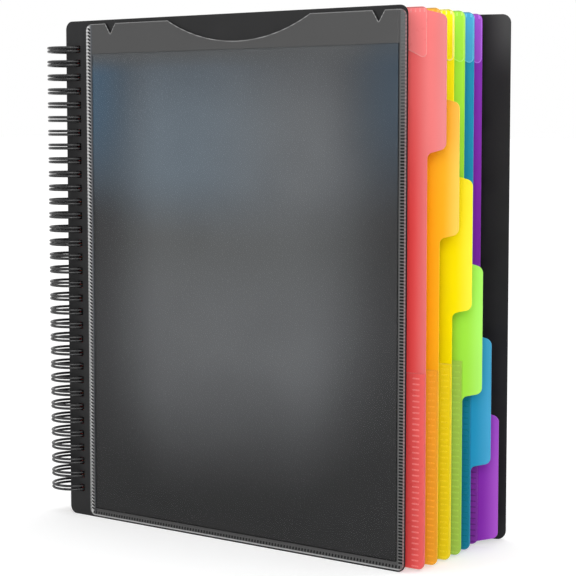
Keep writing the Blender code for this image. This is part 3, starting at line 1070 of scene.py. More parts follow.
@dataclass(frozen=True)
class WireCoating:
    """Black nylon over steel wire: glossy, with faint scuffs from the sheets' holes."""

    name: str = "wire_black"
    black: Colour = (0.006, 0.006, 0.0065)
    scuffed: Colour = (0.025, 0.025, 0.026)
    specular: float = 0.5
    roughness: Span = (0.22, 0.34)
    ior: float = 1.45

    def make(self) -> Material:
        """The material for the wire.

        Returns:
            The material.
        """
        recipe = Recipe(self.name, self.specular, IOR=self.ior)
        scuffs = recipe.spread(recipe.noise(2.2 * MM, 4.0), 0.58, 0.72, 0.0, 0.6)
        tone = recipe.blend(scuffs, self.black, self.scuffed)
        bump = recipe.noise(0.5 * MM, 2.0), 0.02 * MM, 0.2
        return recipe.done(tone, recipe.noise(1.5 * MM), self.roughness, bump)


# The folder's pieces


@dataclass(frozen=True)
class WeldRow:
    """A row of weld bars along a path through their middles."""

    path: Outline
    pitch: float
    length: float  # of a bar, across the path
    width: float  # of a bar, along the path
    slant: float = 0.0  # how far each bar is turned from square to the path, in degrees


@dataclass
class SheetMaker:
    """Makes punched sheets and weld bars with trees that all sheets share, and stands flat meshes at a place."""

    place: SheetPlace
    sheet_tree: GeometryTree
    weld_tree: GeometryTree
    bar_bevel: float = 0.22  # of a weld bar's width
    bar_bevel_most: float = 0.4  # and at most this share of its thickness

    def at(self, place: SheetPlace) -> "SheetMaker":
        """The maker for another place."""
        return SheetMaker(place, self.sheet_tree, self.weld_tree)

    def stand(
        self, name: str, mesh: Mesh, materials: list[Material], slot: str, stands_for: str | None, lift: float = 0.0
    ) -> Piece:
        """Stands a flat mesh at the place, a lift in front of the sheet's middle plane, as a finished piece."""
        mesh.transform(self.place.matrix @ Matrix.Translation((0.0, 0.0, lift)))
        return dressed(name, mesh, materials, self.place.body, stands_for)

    def punched(self, name: str, outline: Outline, thickness: float, edge: float) -> Mesh:
        """A sheet with the row of binding holes, softened along its rims.

        Args:
            name: The mesh's name.
            outline: The sheet's outline.
            thickness: Its thickness.
            edge: The rims' bevel.

        Returns:
            The flat mesh, with its rims in material slot 1.
        """
        values = {
            "Thickness": thickness,
            "Hole Width": SIZES.hole_width,
            "Hole Height": SIZES.hole_height,
            "Hole Corner Radius": SIZES.hole_corner_radius,
            "Hole X": self.place.spine + SIZES.hole_margin,
            "First Hole": SIZES.first_hole,
            "Hole Pitch": SIZES.hole_pitch,
            "Hole Count": SIZES.hole_count,
        }
        mesh = self.sheet_tree.run(name, outline_mesh(f"{name}_outline", outline), values)
        soften_edges(mesh, edge)
        return mesh

    def weld_bars(self, name: str, row: WeldRow, thickness: float) -> Mesh:
        """A row of weld bars, lying flat.

        Args:
            name: The mesh's name.
            row: The row's path and the bars' sizes.
            thickness: The bars' thickness.

        Returns:
            The flat mesh.
        """
        values = {
            "Pitch": row.pitch,
            "Bar Length": row.length,
            "Bar Width": row.width,
            "Bar Thickness": thickness,
            "Slant": math.radians(row.slant),
        }
        mesh = self.weld_tree.run(name, outline_mesh(f"{name}_path", row.path, closed=False), values)
        soften_edges(mesh, min(row.width * self.bar_bevel, thickness * self.bar_bevel_most), segments=1, rim_slot=None)
        return mesh


@dataclass
class Cover:
    """A stiff black cover with rounded corners and a row of binding holes."""

    name: str
    place: SheetPlace
    width: float
    plastic: CoverPlastic = CoverPlastic()
    rim: CutEdge = CutEdge("cover_cut_edge", grey(0.004), grey(0.004), (0.4, 0.52), 0.08)
    corner_radius: float = 5.0 * MM
    edge: float = 0.22 * MM

    def build(self, maker: SheetMaker) -> Piece:
        """Builds the cover.

        Args:
            maker: The maker, at any place.

        Returns:
            The cover's piece.
        """
        maker = maker.at(self.place)
        name = f"{self.name}_sheet"
        spine = self.place.spine
        fore = spine + self.width
        outline = rectangle(spine, 0.0, fore, SIZES.height, self.corner_radius)
        mesh = maker.punched(name, outline, SIZES.cover_thickness, self.edge)
        finishes = [self.plastic.make(self.place, fore), self.rim.make(self.place, fore)]
        return maker.stand(name, mesh, finishes, "cover_black", self.name)


@dataclass
class CoverPocket:
    """The front cover's clear film, welded down three sides, with a thumb cut and two notches in its mouth."""

    place: SheetPlace
    cover_width: float
    spine_margin: float = 17.4 * MM
    fore_inset: float = 0.3 * MM
    top_inset: float = 2.3 * MM
    bottom_inset: float = 1.0 * MM
    corner_radius: float = 4.0 * MM
    film_thickness: float = 0.2 * MM
    film_inner: float = 1.3 * MM  # from the cover's middle plane to the film's inner face
    weld_lift: float = 0.60 * MM  # from the cover's middle plane to the film's, along the welds
    border: float = 0.5 * MM
    spine_seam: float = 1.25 * MM  # the bright line down the film's spine side
    fore_seam: float = 0.95 * MM
    foot_seam: float = 0.8 * MM
    spine_weld: float = 3.8 * MM  # from the film's spine side to where it rises off the cover
    spine_rise: float = 1.1 * MM
    fore_weld: float = 4.7 * MM
    fore_rise: float = 0.5 * MM
    foot_weld: float = 3.6 * MM
    foot_rise: float = 1.1 * MM
    overlap: float = 0.6 * MM  # how far the spine side's milky strip reaches over the sheet
    lip_bottom: float = 284.7 * MM  # where the film turns milky, just below the sheet's top edge
    mouth_shift: float = 1.6 * MM  # how far the thumb cut and the notches are off the film's middle
    thumb_cut_width: float = 105.2 * MM
    thumb_cut_depth: float = 13.3 * MM
    thumb_cut_steps: int = 40
    notch_width: float = 8.2 * MM
    notch_depth: float = 6.4 * MM
    notch_margin: float = 19.3 * MM
    notch_side_radius: float = 0.7 * MM
    notch_tip_radius: float = 0.3 * MM
    bar_thickness: float = 0.1 * MM
    bar_insets: tuple[float, float, float] = (2.3 * MM, 2.4 * MM, 1.9 * MM)  # from the fore side, spine side and foot
    row_low: float = 4.2 * MM  # from the film's foot to the upright rows' lower ends
    row_high: float = 3.0 * MM  # from its mouth to their upper ends
    foot_row_margin: float = 3.0 * MM
    fore_tone_width: float = 1.2 * MM  # the strip in which the fore band's tone changes
    spine_tone_end: float = 4.4 * MM  # from the film's spine side to where the spine band's tone has changed
    bar_relief: float = 0.02 * MM  # how far a weld bar's middle lies above the film's face
    film: ClearFilm = ClearFilm("cover_film_clear")
    lip: ClearFilm = ClearFilm("cover_film_lip", 0.071, 0.97)
    seam: PocketSeam = PocketSeam("cover_film_rim")
    # The bands' greys are partly the film's haze and partly a painted reflection; the spine band's bright start is a
    # painted highlight.
    fore_band: WeldBand = WeldBand("cover_fore_weld_band", grey(0.060), grey(0.120))
    spine_band: WeldBand = WeldBand("cover_spine_weld_band", grey(0.60), (0.075, 0.080, 0.088), 0.45)
    foot_band: WeldBand = WeldBand("cover_foot_weld_band", grey(0.075), grey(0.080))
    mark: WeldMark = WeldMark("cover_weld_mark")
    fore_mark: WeldMark = WeldMark("cover_fore_weld_mark", top_colour=(0.11, 0.12, 0.12), change_from=225 * MM)

    @property
    def left(self) -> float:
        """The flat x of the film's spine side."""
        return self.place.spine + self.spine_margin

    @property
    def right(self) -> float:
        """The flat x of the film's fore side."""
        return self.place.spine + self.cover_width - self.fore_inset

    @property
    def top(self) -> float:
        """The height of the film's mouth."""
        return SIZES.height - self.top_inset

    def film_outline(self) -> Outline:
        """The film's outline, with the thumb cut and the notches.

        Returns:
            The outline.
        """
        middle = (self.left + self.right) / 2 + self.mouth_shift
        half_width = self.thumb_cut_width / 2
        radius = (half_width**2 + self.thumb_cut_depth**2) / (2 * self.thumb_cut_depth)
        half_angle = math.asin(half_width / radius)
        centre = self.top - self.thumb_cut_depth + radius
        steps = self.thumb_cut_steps
        angles = [half_angle * (1 - 2 * step / steps) for step in range(steps + 1)]
        cut = [(middle + radius * math.sin(angle), centre - radius * math.cos(angle), 0.0) for angle in angles]
        reach = (self.right - self.left) / 2 - self.notch_margin
        half, side, tip = self.notch_width / 2, self.notch_side_radius, self.notch_tip_radius
        first, second = (
            [(x + half, self.top, side), (x, self.top - self.notch_depth, tip), (x - half, self.top, side)]
            for x in (middle + reach, middle - reach)
        )
        radius = self.corner_radius
        corners = [(self.left, self.bottom_inset, radius), (self.right, self.bottom_inset, radius)]
        corners += [(self.right, self.top, radius), *first, *cut, *second, (self.left, self.top, radius)]
        return rounded(corners)

    def rise(self, x: float, y: float) -> float:
        """How far the film has risen off its welds at a place, from 0 to 1.

        Args:
            x: The place's flat x.
            y: Its height.

        Returns:
            The share of the way up.
        """
        spine = (x - self.left - self.spine_weld) / self.spine_rise
        fore = (self.right - x - self.fore_weld) / self.fore_rise
        foot = (y - self.bottom_inset - self.foot_weld) / self.foot_rise
        share = min(max(min(spine, fore, foot), 0.0), 1.0)
        return share * share * (3.0 - 2.0 * share)

    def zone(self, x: float, y: float) -> int:
        """The film's material slot at a place inside its border, as listed in finishes.

        Args:
            x: The place's flat x.
            y: Its height.

        Returns:
            The slot.
        """
        if x < self.left + self.spine_seam or x > self.right - self.fore_seam or y < self.bottom_inset + self.foot_seam:
            return 1
        if x < self.left + self.spine_weld + self.spine_rise + self.overlap:
            return 4
        if x > self.right - self.fore_weld:
            return 3
        if y < self.bottom_inset + self.foot_weld + self.foot_rise:
            return 5
        return 2 if y > self.lip_bottom else 0

    def film_body(self) -> Mesh:
        """The film: pressed down to the cover along its welds and raised over the sheet between them.

        Returns:
            The film's flat mesh.
        """
        skin = bordered_skin(self.film_outline(), self.border)
        bmesh.ops.triangulate(skin, faces=list(skin.faces), ngon_method="EAR_CLIP")
        shares = (0.0, 0.25, 0.5, 0.75, 1.0)
        spine_cuts = [self.spine_seam, *(self.spine_weld + self.spine_rise * share for share in shares)]
        spine_cuts.append(self.spine_weld + self.spine_rise + self.overlap)
        fore_cuts = [self.fore_seam, *(self.fore_weld + self.fore_rise * share for share in shares)]
        foot_cuts = [self.foot_seam, *(self.foot_weld + self.foot_rise * share for share in shares)]
        across, upright = Vector((1.0, 0.0, 0.0)), Vector((0.0, 1.0, 0.0))
        cuts = [(across * (self.left + reach), across) for reach in spine_cuts]
        cuts += [(across * (self.right - reach), across) for reach in fore_cuts]
        cuts += [(upright * (self.bottom_inset + reach), upright) for reach in foot_cuts]
        cuts.append((upright * self.lip_bottom, upright))
        for place, normal in cuts:
            geometry = list(skin.verts) + list(skin.edges) + list(skin.faces)
            bmesh.ops.bisect_plane(skin, geom=geometry, dist=JOIN_DISTANCE, plane_co=place, plane_no=normal)
        for face in skin.faces:
            if face.material_index == 0:
                centre = face.calc_center_median()
                face.material_index = self.zone(centre.x, centre.y)
        full = self.film_inner + self.film_thickness / 2 - self.weld_lift
        for vert in skin.verts:
            vert.co.z = full * self.rise(vert.co.x, vert.co.y)
        return thickened("cover_pocket_film", skin, self.film_thickness)

    def finishes(self) -> list[Material]:
        """The film's materials by slot: over the sheet, rim, lip, and the fore, spine and foot welds.

        Returns:
            The materials, in the order of the slots.
        """
        fore_start = self.right - self.fore_weld
        return [
            self.film.make(self.place),
            self.seam.make(self.place, self.left, self.right),
            self.lip.make(self.place),
            self.fore_band.make(self.place, fore_start, fore_start + self.fore_tone_width),
            self.spine_band.make(self.place, self.left + self.spine_seam, self.left + self.spine_tone_end),
            self.foot_band.make(self.place, self.left, self.right),
        ]

    def weld_rows(self) -> dict[str, WeldRow]:
        """The dark weld bars along the fore side, the foot and the spine side.

        Returns:
            The rows by side.
        """
        low, high = self.bottom_inset + self.row_low, self.top - self.row_high
        fore, spine = self.right - self.bar_insets[0], self.left + self.bar_insets[1]
        foot, margin = self.bottom_inset + self.bar_insets[2], self.foot_row_margin
        foot_path, spine_path = [(self.right - margin, foot), (self.left + margin, foot)], [(spine, low), (spine, high)]
        return {
            "fore": WeldRow([(fore, low), (fore, high)], pitch=1.72 * MM, length=2.9 * MM, width=1.0 * MM),
            "foot": WeldRow(foot_path, pitch=2.15 * MM, length=1.9 * MM, width=1.05 * MM, slant=-12),
            "spine": WeldRow(spine_path, pitch=2.05 * MM, length=2.5 * MM, width=1.15 * MM, slant=-33),
        }

    def build(self, maker: SheetMaker) -> list[Piece]:
        """Builds the film and its weld bars.

        Args:
            maker: The maker, at any place.

        Returns:
            The pieces.
        """
        maker = maker.at(self.place)
        body = self.film_body()
        film = maker.stand("cover_pocket_film", body, self.finishes(), "cover_film", "cover_pocket", self.weld_lift)
        pieces = [film]
        lift = self.weld_lift + self.film_thickness / 2 + self.bar_relief
        for side, row in self.weld_rows().items():
            name = f"cover_pocket_welds_{side}"
            mesh = maker.weld_bars(name, row, self.bar_thickness)
            finish = (self.fore_mark if side == "fore" else self.mark).make(self.place)
            pieces.append(maker.stand(name, mesh, [finish], "cover_film", None, lift))
        return pieces


@dataclass
class CoverSheet:
    """The printed sheet that stands in the cover's pocket and slides up out of it."""

    place: SheetPlace
    left: float
    right: float
    bottom: float = 5.8 * MM
    top: float = 285.2 * MM
    thickness: float = 0.25 * MM
    lift: float = 0.875 * MM  # from the cover's middle plane to the sheet's
    border: float = 1.0 * MM
    edge: float = 0.05 * MM
    card: PrintedCard = PrintedCard("insert_card")

    def build(self, maker: SheetMaker) -> Piece:
        """Builds the sheet.

        Args:
            maker: The maker, at any place.

        Returns:
            The sheet's piece.
        """
        skin = bordered_skin(rectangle(self.left, self.bottom, self.right, self.top), self.border)
        mesh = thickened("cover_insert_sheet", skin, self.thickness)
        soften_edges(mesh, self.edge, segments=1, rim_slot=None)
        mesh.polygons.foreach_set("material_index", [0] * len(mesh.polygons))
        finish = self.card.make(self.place, self.left, self.right)
        maker = maker.at(self.place)
        return maker.stand("cover_insert_sheet", mesh, [finish], "insert_card", "cover_insert", self.lift)


@dataclass(frozen=True)
class Dye:
    """A leaf's colours."""

    stack_shade: Colour  # painted shade on the sheet inside the stack
    full: Colour  # the sheet at its body's fore edge
    pale: Colour  # a painted sheen on the tab
    pocket_stack_shade: Colour  # painted shade on the lower pocket's film inside the stack
    pocket_full: Colour  # and at the fore edge
    flap: Colour  # the corner flap's film
    rim: Colour  # the flap's rim, a painted highlight, and its weld bars
    mark: Colour  # the lower pocket's weld bars
    lit_share: float = 0.4  # how far the sheet's top goes to the flap's colour


class LeafColour(Enum):
    """The six leaves, from front to back, with their dyes."""

    RED = Dye(
        (0.95, 0.072, 0.072), (0.80, 0.18, 0.175), (0.73, 0.222, 0.222),
        (0.90, 0.055, 0.057), (0.90, 0.13, 0.122), (1.0, 0.235, 0.235), (1.0, 0.34, 0.33), (0.98, 0.23, 0.22), 0.45,
    )
    ORANGE = Dye(
        (0.96, 0.42, 0.004), (0.95, 0.50, 0.016), (0.95, 0.62, 0.10),
        (0.90, 0.385, 0.018), (0.90, 0.44, 0.032), (0.97, 0.56, 0.05), (1.0, 0.66, 0.16), (0.96, 0.49, 0.045),
    )
    YELLOW = Dye(
        (0.74, 0.61, 0.0), (0.92, 0.82, 0.0), (0.94, 0.92, 0.055),
        (0.68, 0.55, 0.008), (0.87, 0.71, 0.012), (0.97, 0.98, 0.012), (1.0, 1.0, 0.40), (0.88, 0.73, 0.025), 0.85,
    )
    GREEN = Dye(
        (0.36, 0.60, 0.02), (0.38, 0.82, 0.065), (0.42, 0.94, 0.165),
        (0.33, 0.55, 0.05), (0.39, 0.60, 0.09), (0.40, 0.82, 0.075), (0.56, 0.95, 0.20), (0.42, 0.65, 0.10),
    )
    BLUE = Dye(
        (0.006, 0.19, 0.29), (0.016, 0.295, 0.55), (0.062, 0.37, 0.67),
        (0.004, 0.145, 0.21), (0.010, 0.21, 0.34), (0.082, 0.40, 0.76), (0.17, 0.58, 0.90), (0.008, 0.19, 0.28), 0.1,
    )
    PURPLE = Dye(
        (0.19, 0.018, 0.33), (0.24, 0.024, 0.41), (0.40, 0.085, 0.60),
        (0.17, 0.026, 0.27), (0.225, 0.033, 0.345), (0.38, 0.085, 0.585), (0.56, 0.20, 0.82), (0.14, 0.024, 0.23), 0.15,
    )


@dataclass
class Leaf:
    """A coloured leaf with its index tab, and on each side a lower pocket and a corner flap of film."""

    colour: LeafColour
    number: int  # from the front
    place: SheetPlace
    width: float = 260.0 * MM
    edge: float = 0.1 * MM
    corner_radius: float = 4.0 * MM
    corner_steps: int = 9
    tab_reach: float = 11.8 * MM
    tab_height: float = 75.8 * MM
    tab_slant: float = 2.9 * MM
    tab_corner_radius: float = 4.0 * MM
    tab_root_radius: float = 3.5 * MM
    tab_end_margin: float = 2.1 * MM
    tab_places: tuple[float, ...] = (1.0, 0.589, 0.215, -0.215, -0.589, -1.0)
    pocket_top: float = 108.3 * MM
    pocket_top_offsets: tuple[float, ...] = (0.0, 0.5 * MM, 2.4 * MM, 2.6 * MM, 1.7 * MM, 1.7 * MM)
    film_spine_margin: float = 18.0 * MM
    film_inset: float = 0.15 * MM
    film_thickness: float = 0.15 * MM
    weld_gap: float = 0.3 * MM
    film_border: float = 0.55 * MM
    flap_height: float = 27.3 * MM
    flap_height_offsets: tuple[float, ...] = (0.7 * MM, 1.4 * MM, 1.8 * MM, 2.0 * MM, 2.0 * MM, 1.7 * MM)
    flap_length: float = 60.7 * MM
    flap_corner_radius: float = 2.5 * MM
    weld_margins: tuple[float, ...] = (5.7 * MM, 3.9 * MM, 3.9 * MM, 3.5 * MM, 3.5 * MM, 3.5 * MM)
    weld_pitches: tuple[float, ...] = (3.115 * MM, 3.36 * MM, 3.22 * MM, 3.4 * MM, 3.3 * MM, 3.3 * MM)
    pocket_row_ends: Span = (3.05 * MM, 1.6 * MM)  # from the mouth and from the leaf's lower edge
    flap_row_inset: float = 2.0 * MM  # from the leaf's upper edge
    flap_row_ends: Span = (1.8 * MM, 8 * MM)  # from the fore edge and from the flap's far end
    weld_relief: float = 0.05 * MM  # how far a weld bar's middle lies above its film's
    rim_light: float = 0.12  # how far a lower pocket's rim goes from its film's tone to the flap rim's painted highlight

    @property
    def label(self) -> str:
        """The colour's plain name, as in the CAD node names."""
        return self.colour.name.lower()

    @property
    def fore(self) -> float:
        """The flat x of the body's fore edge."""
        return self.place.spine + self.width

    @property
    def low(self) -> float:
        """The height of the leaf's lower edge."""
        return SIZES.leaf_inset

    @property
    def high(self) -> float:
        """The height of the leaf's upper edge."""
        return SIZES.height - SIZES.leaf_inset

    @property
    def mouth(self) -> float:
        """The height of the lower pocket's mouth."""
        return self.pocket_top + self.pocket_top_offsets[self.number]

    def fore_corner(self, margin: float) -> list[Corner]:
        """A fore corner and the root of a tab that starts at a margin from the leaf's end.

        Args:
            margin: The distance from the leaf's end to the tab's root.

        Returns:
            Corners as (x, distance from the leaf's end, radius). A tab near the end starts on the corner's arc.
        """
        slope = self.tab_slant / self.tab_reach
        radius = self.corner_radius
        if margin >= radius:
            return [(self.fore, 0.0, radius), (self.fore, margin, self.tab_root_radius)]
        end = math.atan(slope) + math.acos((radius * (1 + slope) - margin) / (radius * math.hypot(1.0, slope)))
        angles = [end * step / self.corner_steps for step in range(self.corner_steps + 1)]
        return [(self.fore - radius * (1 - math.sin(angle)), radius * (1 - math.cos(angle)), 0.0) for angle in angles]

    def sheet_outline(self) -> Outline:
        """The leaf's outline with its tab.

        Returns:
            The outline.
        """
        outermost = (self.high - self.low) / 2 - self.tab_end_margin - self.tab_height / 2
        middle = SIZES.height / 2 + self.tab_places[self.number] * outermost
        bottom, top = middle - self.tab_height / 2, middle + self.tab_height / 2
        outer = self.fore + self.tab_reach
        corners = [(self.place.spine, self.low, self.corner_radius)]
        corners += [(x, self.low + end, radius) for x, end, radius in self.fore_corner(bottom - self.low)]
        corners.append((outer, bottom + self.tab_slant, self.tab_corner_radius))
        corners.append((outer, top - self.tab_slant, self.tab_corner_radius))
        corners += [(x, self.high - end, radius) for x, end, radius in reversed(self.fore_corner(self.high - top))]
        corners.append((self.place.spine, self.high, self.corner_radius))
        return rounded(corners)

    def film_outline(self, film: Film) -> Outline:
        """The outline of the lower pocket or of the corner flap.

        Args:
            film: Which of the two films.

        Returns:
            The outline.
        """
        right, follow = self.fore - self.film_inset, self.corner_radius - self.film_inset
        if film is Film.POCKET:
            left, bottom = self.place.spine + self.film_spine_margin, self.low + self.film_inset
            corners = [(left, bottom, 0.0), (right, bottom, follow), (right, self.mouth, 0.0), (left, self.mouth, 0.0)]
        else:
            top = self.high - self.film_inset
            height = self.flap_height + self.flap_height_offsets[self.number]
            corners = [(right, top - height, self.flap_corner_radius), (right, top, follow)]
            corners.append((right - self.flap_length, top, 0.0))
        return rounded(corners)

    def weld_rows(self) -> dict[Film, WeldRow]:
        """Each film's row of weld bars.

        Returns:
            The rows by film.
        """
        right = self.fore - self.weld_margins[self.number]
        upright = [(right, self.mouth - self.pocket_row_ends[0]), (right, self.low + self.pocket_row_ends[1])]
        ends = self.fore - self.flap_row_ends[0], self.fore - self.flap_length + self.flap_row_ends[1]
        level = [(x, self.high - self.flap_row_inset) for x in ends]
        return {
            Film.POCKET: WeldRow(upright, self.weld_pitches[self.number], length=4.6 * MM, width=0.85 * MM),
            Film.FLAP: WeldRow(level, pitch=2.8 * MM, length=2.1 * MM, width=0.8 * MM),
        }

    def film_finishes(self) -> dict[Film, tuple[list[Material], list[Material]]]:
        """Each film's own materials and those of its weld bars.

        Returns:
            The film's materials and the bars', by film.
        """
        dye: Dye = self.colour.value
        pocket_rim = tuple(part + (light - part) * self.rim_light for part, light in zip(dye.pocket_full, dye.rim))
        tones = {
            Film.POCKET: (dye.pocket_stack_shade, dye.pocket_full, pocket_rim, dye.mark),
            Film.FLAP: (dye.flap, dye.flap, dye.rim, dye.rim),
        }
        finishes = {}
        for film, (stack_shade, full, rim, mark) in tones.items():
            name = f"{self.label}_{film.value}"
            skin = [LeafFilm(f"{name}_film", stack_shade, full).make(self.place, self.fore)]
            skin.append(FilmRim(f"{name}_rim", rim).make(self.place))
            finishes[film] = skin, [WeldMark(f"{name}_weld", mark).make(self.place)]
        return finishes

    def build(self, maker: SheetMaker) -> list[Piece]:
        """Builds the leaf's sheet, its four films and their weld bars.

        Args:
            maker: The maker, at any place.

        Returns:
            The pieces.
        """
        dye: Dye = self.colour.value
        maker = maker.at(self.place)
        sheet = f"{self.label}_sheet"
        plastic = LeafPlastic(sheet, dye.stack_shade, dye.full, dye.pale, dye.flap, dye.lit_share)
        # the rim takes the tab's painted sheen
        rim = CutEdge(f"{self.label}_cut_edge", dye.full, dye.pale)
        finishes = [plastic.make(self.place, self.fore, self.mouth), rim.make(self.place, self.fore)]
        mesh = maker.punched(sheet, self.sheet_outline(), SIZES.leaf_thickness, self.edge)
        pieces = [maker.stand(sheet, mesh, finishes, sheet, f"{self.label}_leaf")]
        rows, film_finishes = self.weld_rows(), self.film_finishes()
        standoff = SIZES.leaf_thickness / 2 + self.weld_gap + self.film_thickness / 2
        for side in Side:
            for film in Film:
                name = f"{self.label}_{side.name.lower()}_{film.value}"
                slot = f"{self.label}_film"
                skin_finishes, bar_finishes = film_finishes[film]
                skin = bordered_skin(self.film_outline(film), self.film_border)
                body = thickened(f"{name}_film", skin, self.film_thickness)
                pieces.append(maker.stand(f"{name}_film", body, skin_finishes, slot, name, side.value * standoff))
                bars = maker.weld_bars(f"{name}_welds", rows[film], self.film_thickness)
                lift = side.value * (standoff + self.weld_relief)
                pieces.append(maker.stand(f"{name}_welds", bars, bar_finishes, slot, None, lift))
        return pieces


@dataclass
class WireBinding:
    """The twin-loop wire: one length of coated wire bent to a double loop at each hole, joined by bars."""

    diameter: float = 1.6 * MM
    twin_spacing: float = 2.1 * MM
    bend_radius: float = 1.05 * MM
    bar_angle: float = math.radians(95.0)
    opening: float = math.radians(18.0)
    bend_steps: int = 4
    strand_steps: int = 40
    tip_steps: int = 8
    sides: int = 12
    coating: WireCoating = WireCoating()

    def loop_points(self) -> list[Point]:
        """One loop's points: up half a bar, out round the ring, back, and up half a bar to the next loop.

        Returns:
            The points, in metres about the ring axis.
        """
        half, bend, reach = self.twin_spacing / 2, self.bend_radius, SIZES.ring_radius
        tip = reach * (math.tau - self.opening) - half
        flat = [(0.0, -SIZES.hole_pitch / 2), (0.0, -half - bend)]
        for step in range(1, self.bend_steps + 1):
            angle = math.pi / 2 * step / self.bend_steps
            flat.append((bend * (1 - math.cos(angle)), -half - bend + bend * math.sin(angle)))
        flat += [(bend + (tip - bend) * step / self.strand_steps, -half) for step in range(1, self.strand_steps + 1)]
        returning = [(x, -y) for x, y in reversed(flat)]
        for step in range(1, self.tip_steps):
            angle = math.pi * step / self.tip_steps
            flat.append((tip + half * math.sin(angle), -half * math.cos(angle)))
        turned = [(self.bar_angle - along / reach, height) for along, height in (flat + returning)[:-1]]
        return [(reach * math.cos(angle), reach * math.sin(angle), height) for angle, height in turned]

    def build(self, tree: GeometryTree) -> Piece:
        """Builds the wire.

        Args:
            tree: The tree that threads the loops.

        Returns:
            The wire's piece.
        """
        loop = bpy.data.meshes.new("wire_loop")
        loop.from_pydata(self.loop_points(), [], [])
        values = {
            "Loop Count": SIZES.hole_count,
            "Loop Pitch": SIZES.hole_pitch,
            "First Loop": SIZES.first_hole,
            "Wire Radius": self.diameter / 2,
            "Wire Sides": self.sides,
        }
        mesh = tree.run("wire_twin_loops", loop, values)
        mesh.transform(Matrix.Translation(RING_AXIS))
        return dressed("wire_twin_loops", mesh, [self.coating.make()], "wire", "wire_binding")


@dataclass
class Folder:
    """The whole folder: its sheets stand on the ring axis, each turned on from the one behind it."""

    front_cover_width: float = 254.0 * MM
    back_cover_width: float = 272.0 * MM
    insert_spine_margin: float = 5.0 * MM  # from the film's spine side to the sheet in the pocket
    insert_fore_margin: float = 5.2 * MM  # and from its fore side
    # The back cover's black has a faint purple cast, painted bounce light from the purple leaf, and a painted sheen at
    # its top fore corner.
    back_plastic: CoverPlastic = CoverPlastic(
        "back_cover_black", 0.19, (0.0060, 0.0056, 0.0068), (0.0075, 0.007, 0.008), painted_sheen=grey(0.05)
    )

    def places(self) -> dict[str, SheetPlace]:
        """Each sheet's place, from its joint's way to shut.

        Returns:
            The places by sheet.
        """
        turn = fan_step("front_cover_turn")
        places = {"front_cover": SheetPlace("front_cover", 0.0, -SIZES.cover_offset)}
        for number, colour in enumerate(LeafColour):
            label = colour.name.lower()
            offset = (number - (SIZES.leaf_count - 1) / 2) * SIZES.leaf_pitch
            places[label] = SheetPlace(label, turn, offset)
            turn += fan_step(f"{label}_leaf_turn")
        places["back_cover"] = SheetPlace("back_cover", turn, SIZES.cover_offset)
        return places

    def build(self) -> int:
        """Builds every piece in order, from front to back.

        Returns:
            The number of pieces.
        """
        places = self.places()
        front, back = places["front_cover"], places["back_cover"]
        maker = SheetMaker(front, punched_sheet_tree(), weld_bar_tree())
        pieces = [Cover("front_cover", front, self.front_cover_width).build(maker)]
        pocket = CoverPocket(front, self.front_cover_width)
        pieces += pocket.build(maker)
        sheet_sides = (pocket.left + self.insert_spine_margin, pocket.right - self.insert_fore_margin)
        pieces.append(CoverSheet(SheetPlace("insert", front.turn, front.offset), *sheet_sides).build(maker))
        for number, colour in enumerate(LeafColour):
            pieces += Leaf(colour, number, places[colour.name.lower()]).build(maker)
        pieces.append(Cover("back_cover", back, self.back_cover_width, self.back_plastic).build(maker))
        pieces.append(WireBinding().build(wire_loop_tree()))
        return len(pieces)


# Studio


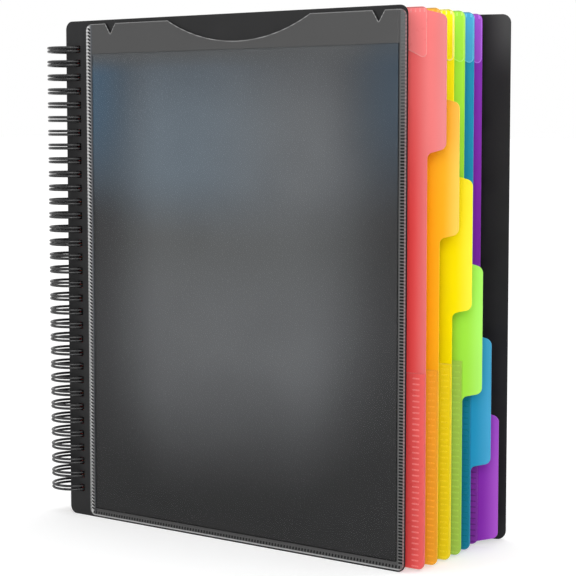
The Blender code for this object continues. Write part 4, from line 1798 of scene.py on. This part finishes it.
@dataclass
class Studio:
    """A pale floor, soft light and a camera at the photograph's viewing angle."""

    camera_from_axis: Point = (0.80621, -0.80008, 0.23889)
    camera_turn: Point = (math.pi / 2 - 0.0869261, 0.0, 0.670732)
    lens: float = 113.43  # in mm, as the sensor's width
    sensor_width: float = 36.0
    clip: Span = (0.05, 200.0)
    floor_size: float = 80.0
    floor_grey: float = 0.86
    floor_ior: float = 1.5
    world_strength: float = 0.48
    near_lift: float = 0.32  # the floor's own glow beside the object
    far_lift: float = 0.65  # and far behind it
    lift_span: Span = (0.5, 3.0)  # the distances between which it changes
    lamps: tuple[tuple[str, Point, Point, float, float], ...] = (
        # name, place, aimed at, size in metres, power in watts
        ("softbox_left", (-1.3, -1.6, 1.5), (0.0, 0.0, 0.15), 1.4, 12.0),
        ("softbox_camera", (1.35, -1.62, 0.75), (0.05, 0.0, 0.15), 1.0, 22.0),
        ("softbox_right", (1.7, -0.6, 0.45), (0.13, 0.0, 0.15), 0.9, 7.0),
        ("softbox_top", (0.1, 0.5, 2.2), (0.0, 0.0, 0.1), 1.8, 18.0),
    )

    def build_floor(self) -> None:
        """Builds the pale floor and its finish, which shows white to the camera but keeps the shadow."""
        half = self.floor_size / 2
        corners = [(-half, -half, 0.0), (half, -half, 0.0), (half, half, 0.0), (-half, half, 0.0)]
        mesh = bpy.data.meshes.new("studio_floor")
        mesh.from_pydata(corners, [], [(0, 1, 2, 3)])
        paint = {"Base_Color": (*grey(self.floor_grey), 1.0), "Emission_Color": (1.0, 1.0, 1.0, 1.0)}
        recipe = Recipe("studio_floor_white", 0.1, Roughness=0.9, IOR=self.floor_ior, **paint)
        distance = recipe.node("ShaderNodeVectorMath", {0: recipe.place}, operation="LENGTH").outputs["Value"]
        lift = recipe.spread(distance, *self.lift_span, self.near_lift, self.far_lift)
        recipe.tree.links.new(recipe.product(lift, recipe.seen()), recipe.shader.inputs["Emission Strength"])
        mesh.materials.append(recipe.material)
        floor = new_piece("studio_floor", mesh)

    def build_world(self) -> None:
        """Builds the even world light, which the camera sees as white."""
        world = bpy.data.worlds.new("studio_world")
        bpy.context.scene.world = world
        world.use_nodes = True
        maker = NodeMaker(world.node_tree)
        background = world.node_tree.nodes["Background"]
        background.inputs["Color"].default_value = (1.0, 1.0, 1.0, 1.0)
        extra = maker.product(maker.seen(), 1.0 - self.world_strength)
        strength = maker.calculate("ADD", extra, self.world_strength)
        world.node_tree.links.new(strength, background.inputs["Strength"])

    def build_lamps(self) -> None:
        """Builds the soft area lamps."""
        for name, place, aim, size, power in self.lamps:
            light = bpy.data.lights.new(name, "AREA")
            light.shape, light.size, light.energy = "SQUARE", size, power
            lamp = bpy.data.objects.new(name, light)
            lamp.location = place
            lamp.rotation_euler = (Vector(aim) - Vector(place)).to_track_quat("-Z", "Y").to_euler()
            bpy.context.scene.collection.objects.link(lamp)

    def build_camera(self) -> None:
        """Builds the camera at the photograph's viewing angle."""
        data = bpy.data.cameras.new("studio_camera")
        data.sensor_width, data.lens = self.sensor_width, self.lens
        data.clip_start, data.clip_end = self.clip
        camera = bpy.data.objects.new("studio_camera", data)
        camera.location = RING_AXIS + Vector(self.camera_from_axis)
        camera.rotation_euler = self.camera_turn
        bpy.context.scene.collection.objects.link(camera)
        bpy.context.scene.camera = camera

    def build(self) -> None:
        """Builds the floor, the world, the lamps and the camera."""
        self.build_floor()
        self.build_world()
        self.build_lamps()
        self.build_camera()
        bpy.context.scene.view_settings.view_transform = "Standard"


def main() -> None:
    """Builds the folder and its studio."""
    logging.basicConfig(level=logging.INFO, format="%(name)s: %(message)s")
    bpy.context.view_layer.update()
    count = Folder().build()
    Studio().build()
    log.info("%d pieces", count)


if __name__ == "__main__":
    main()
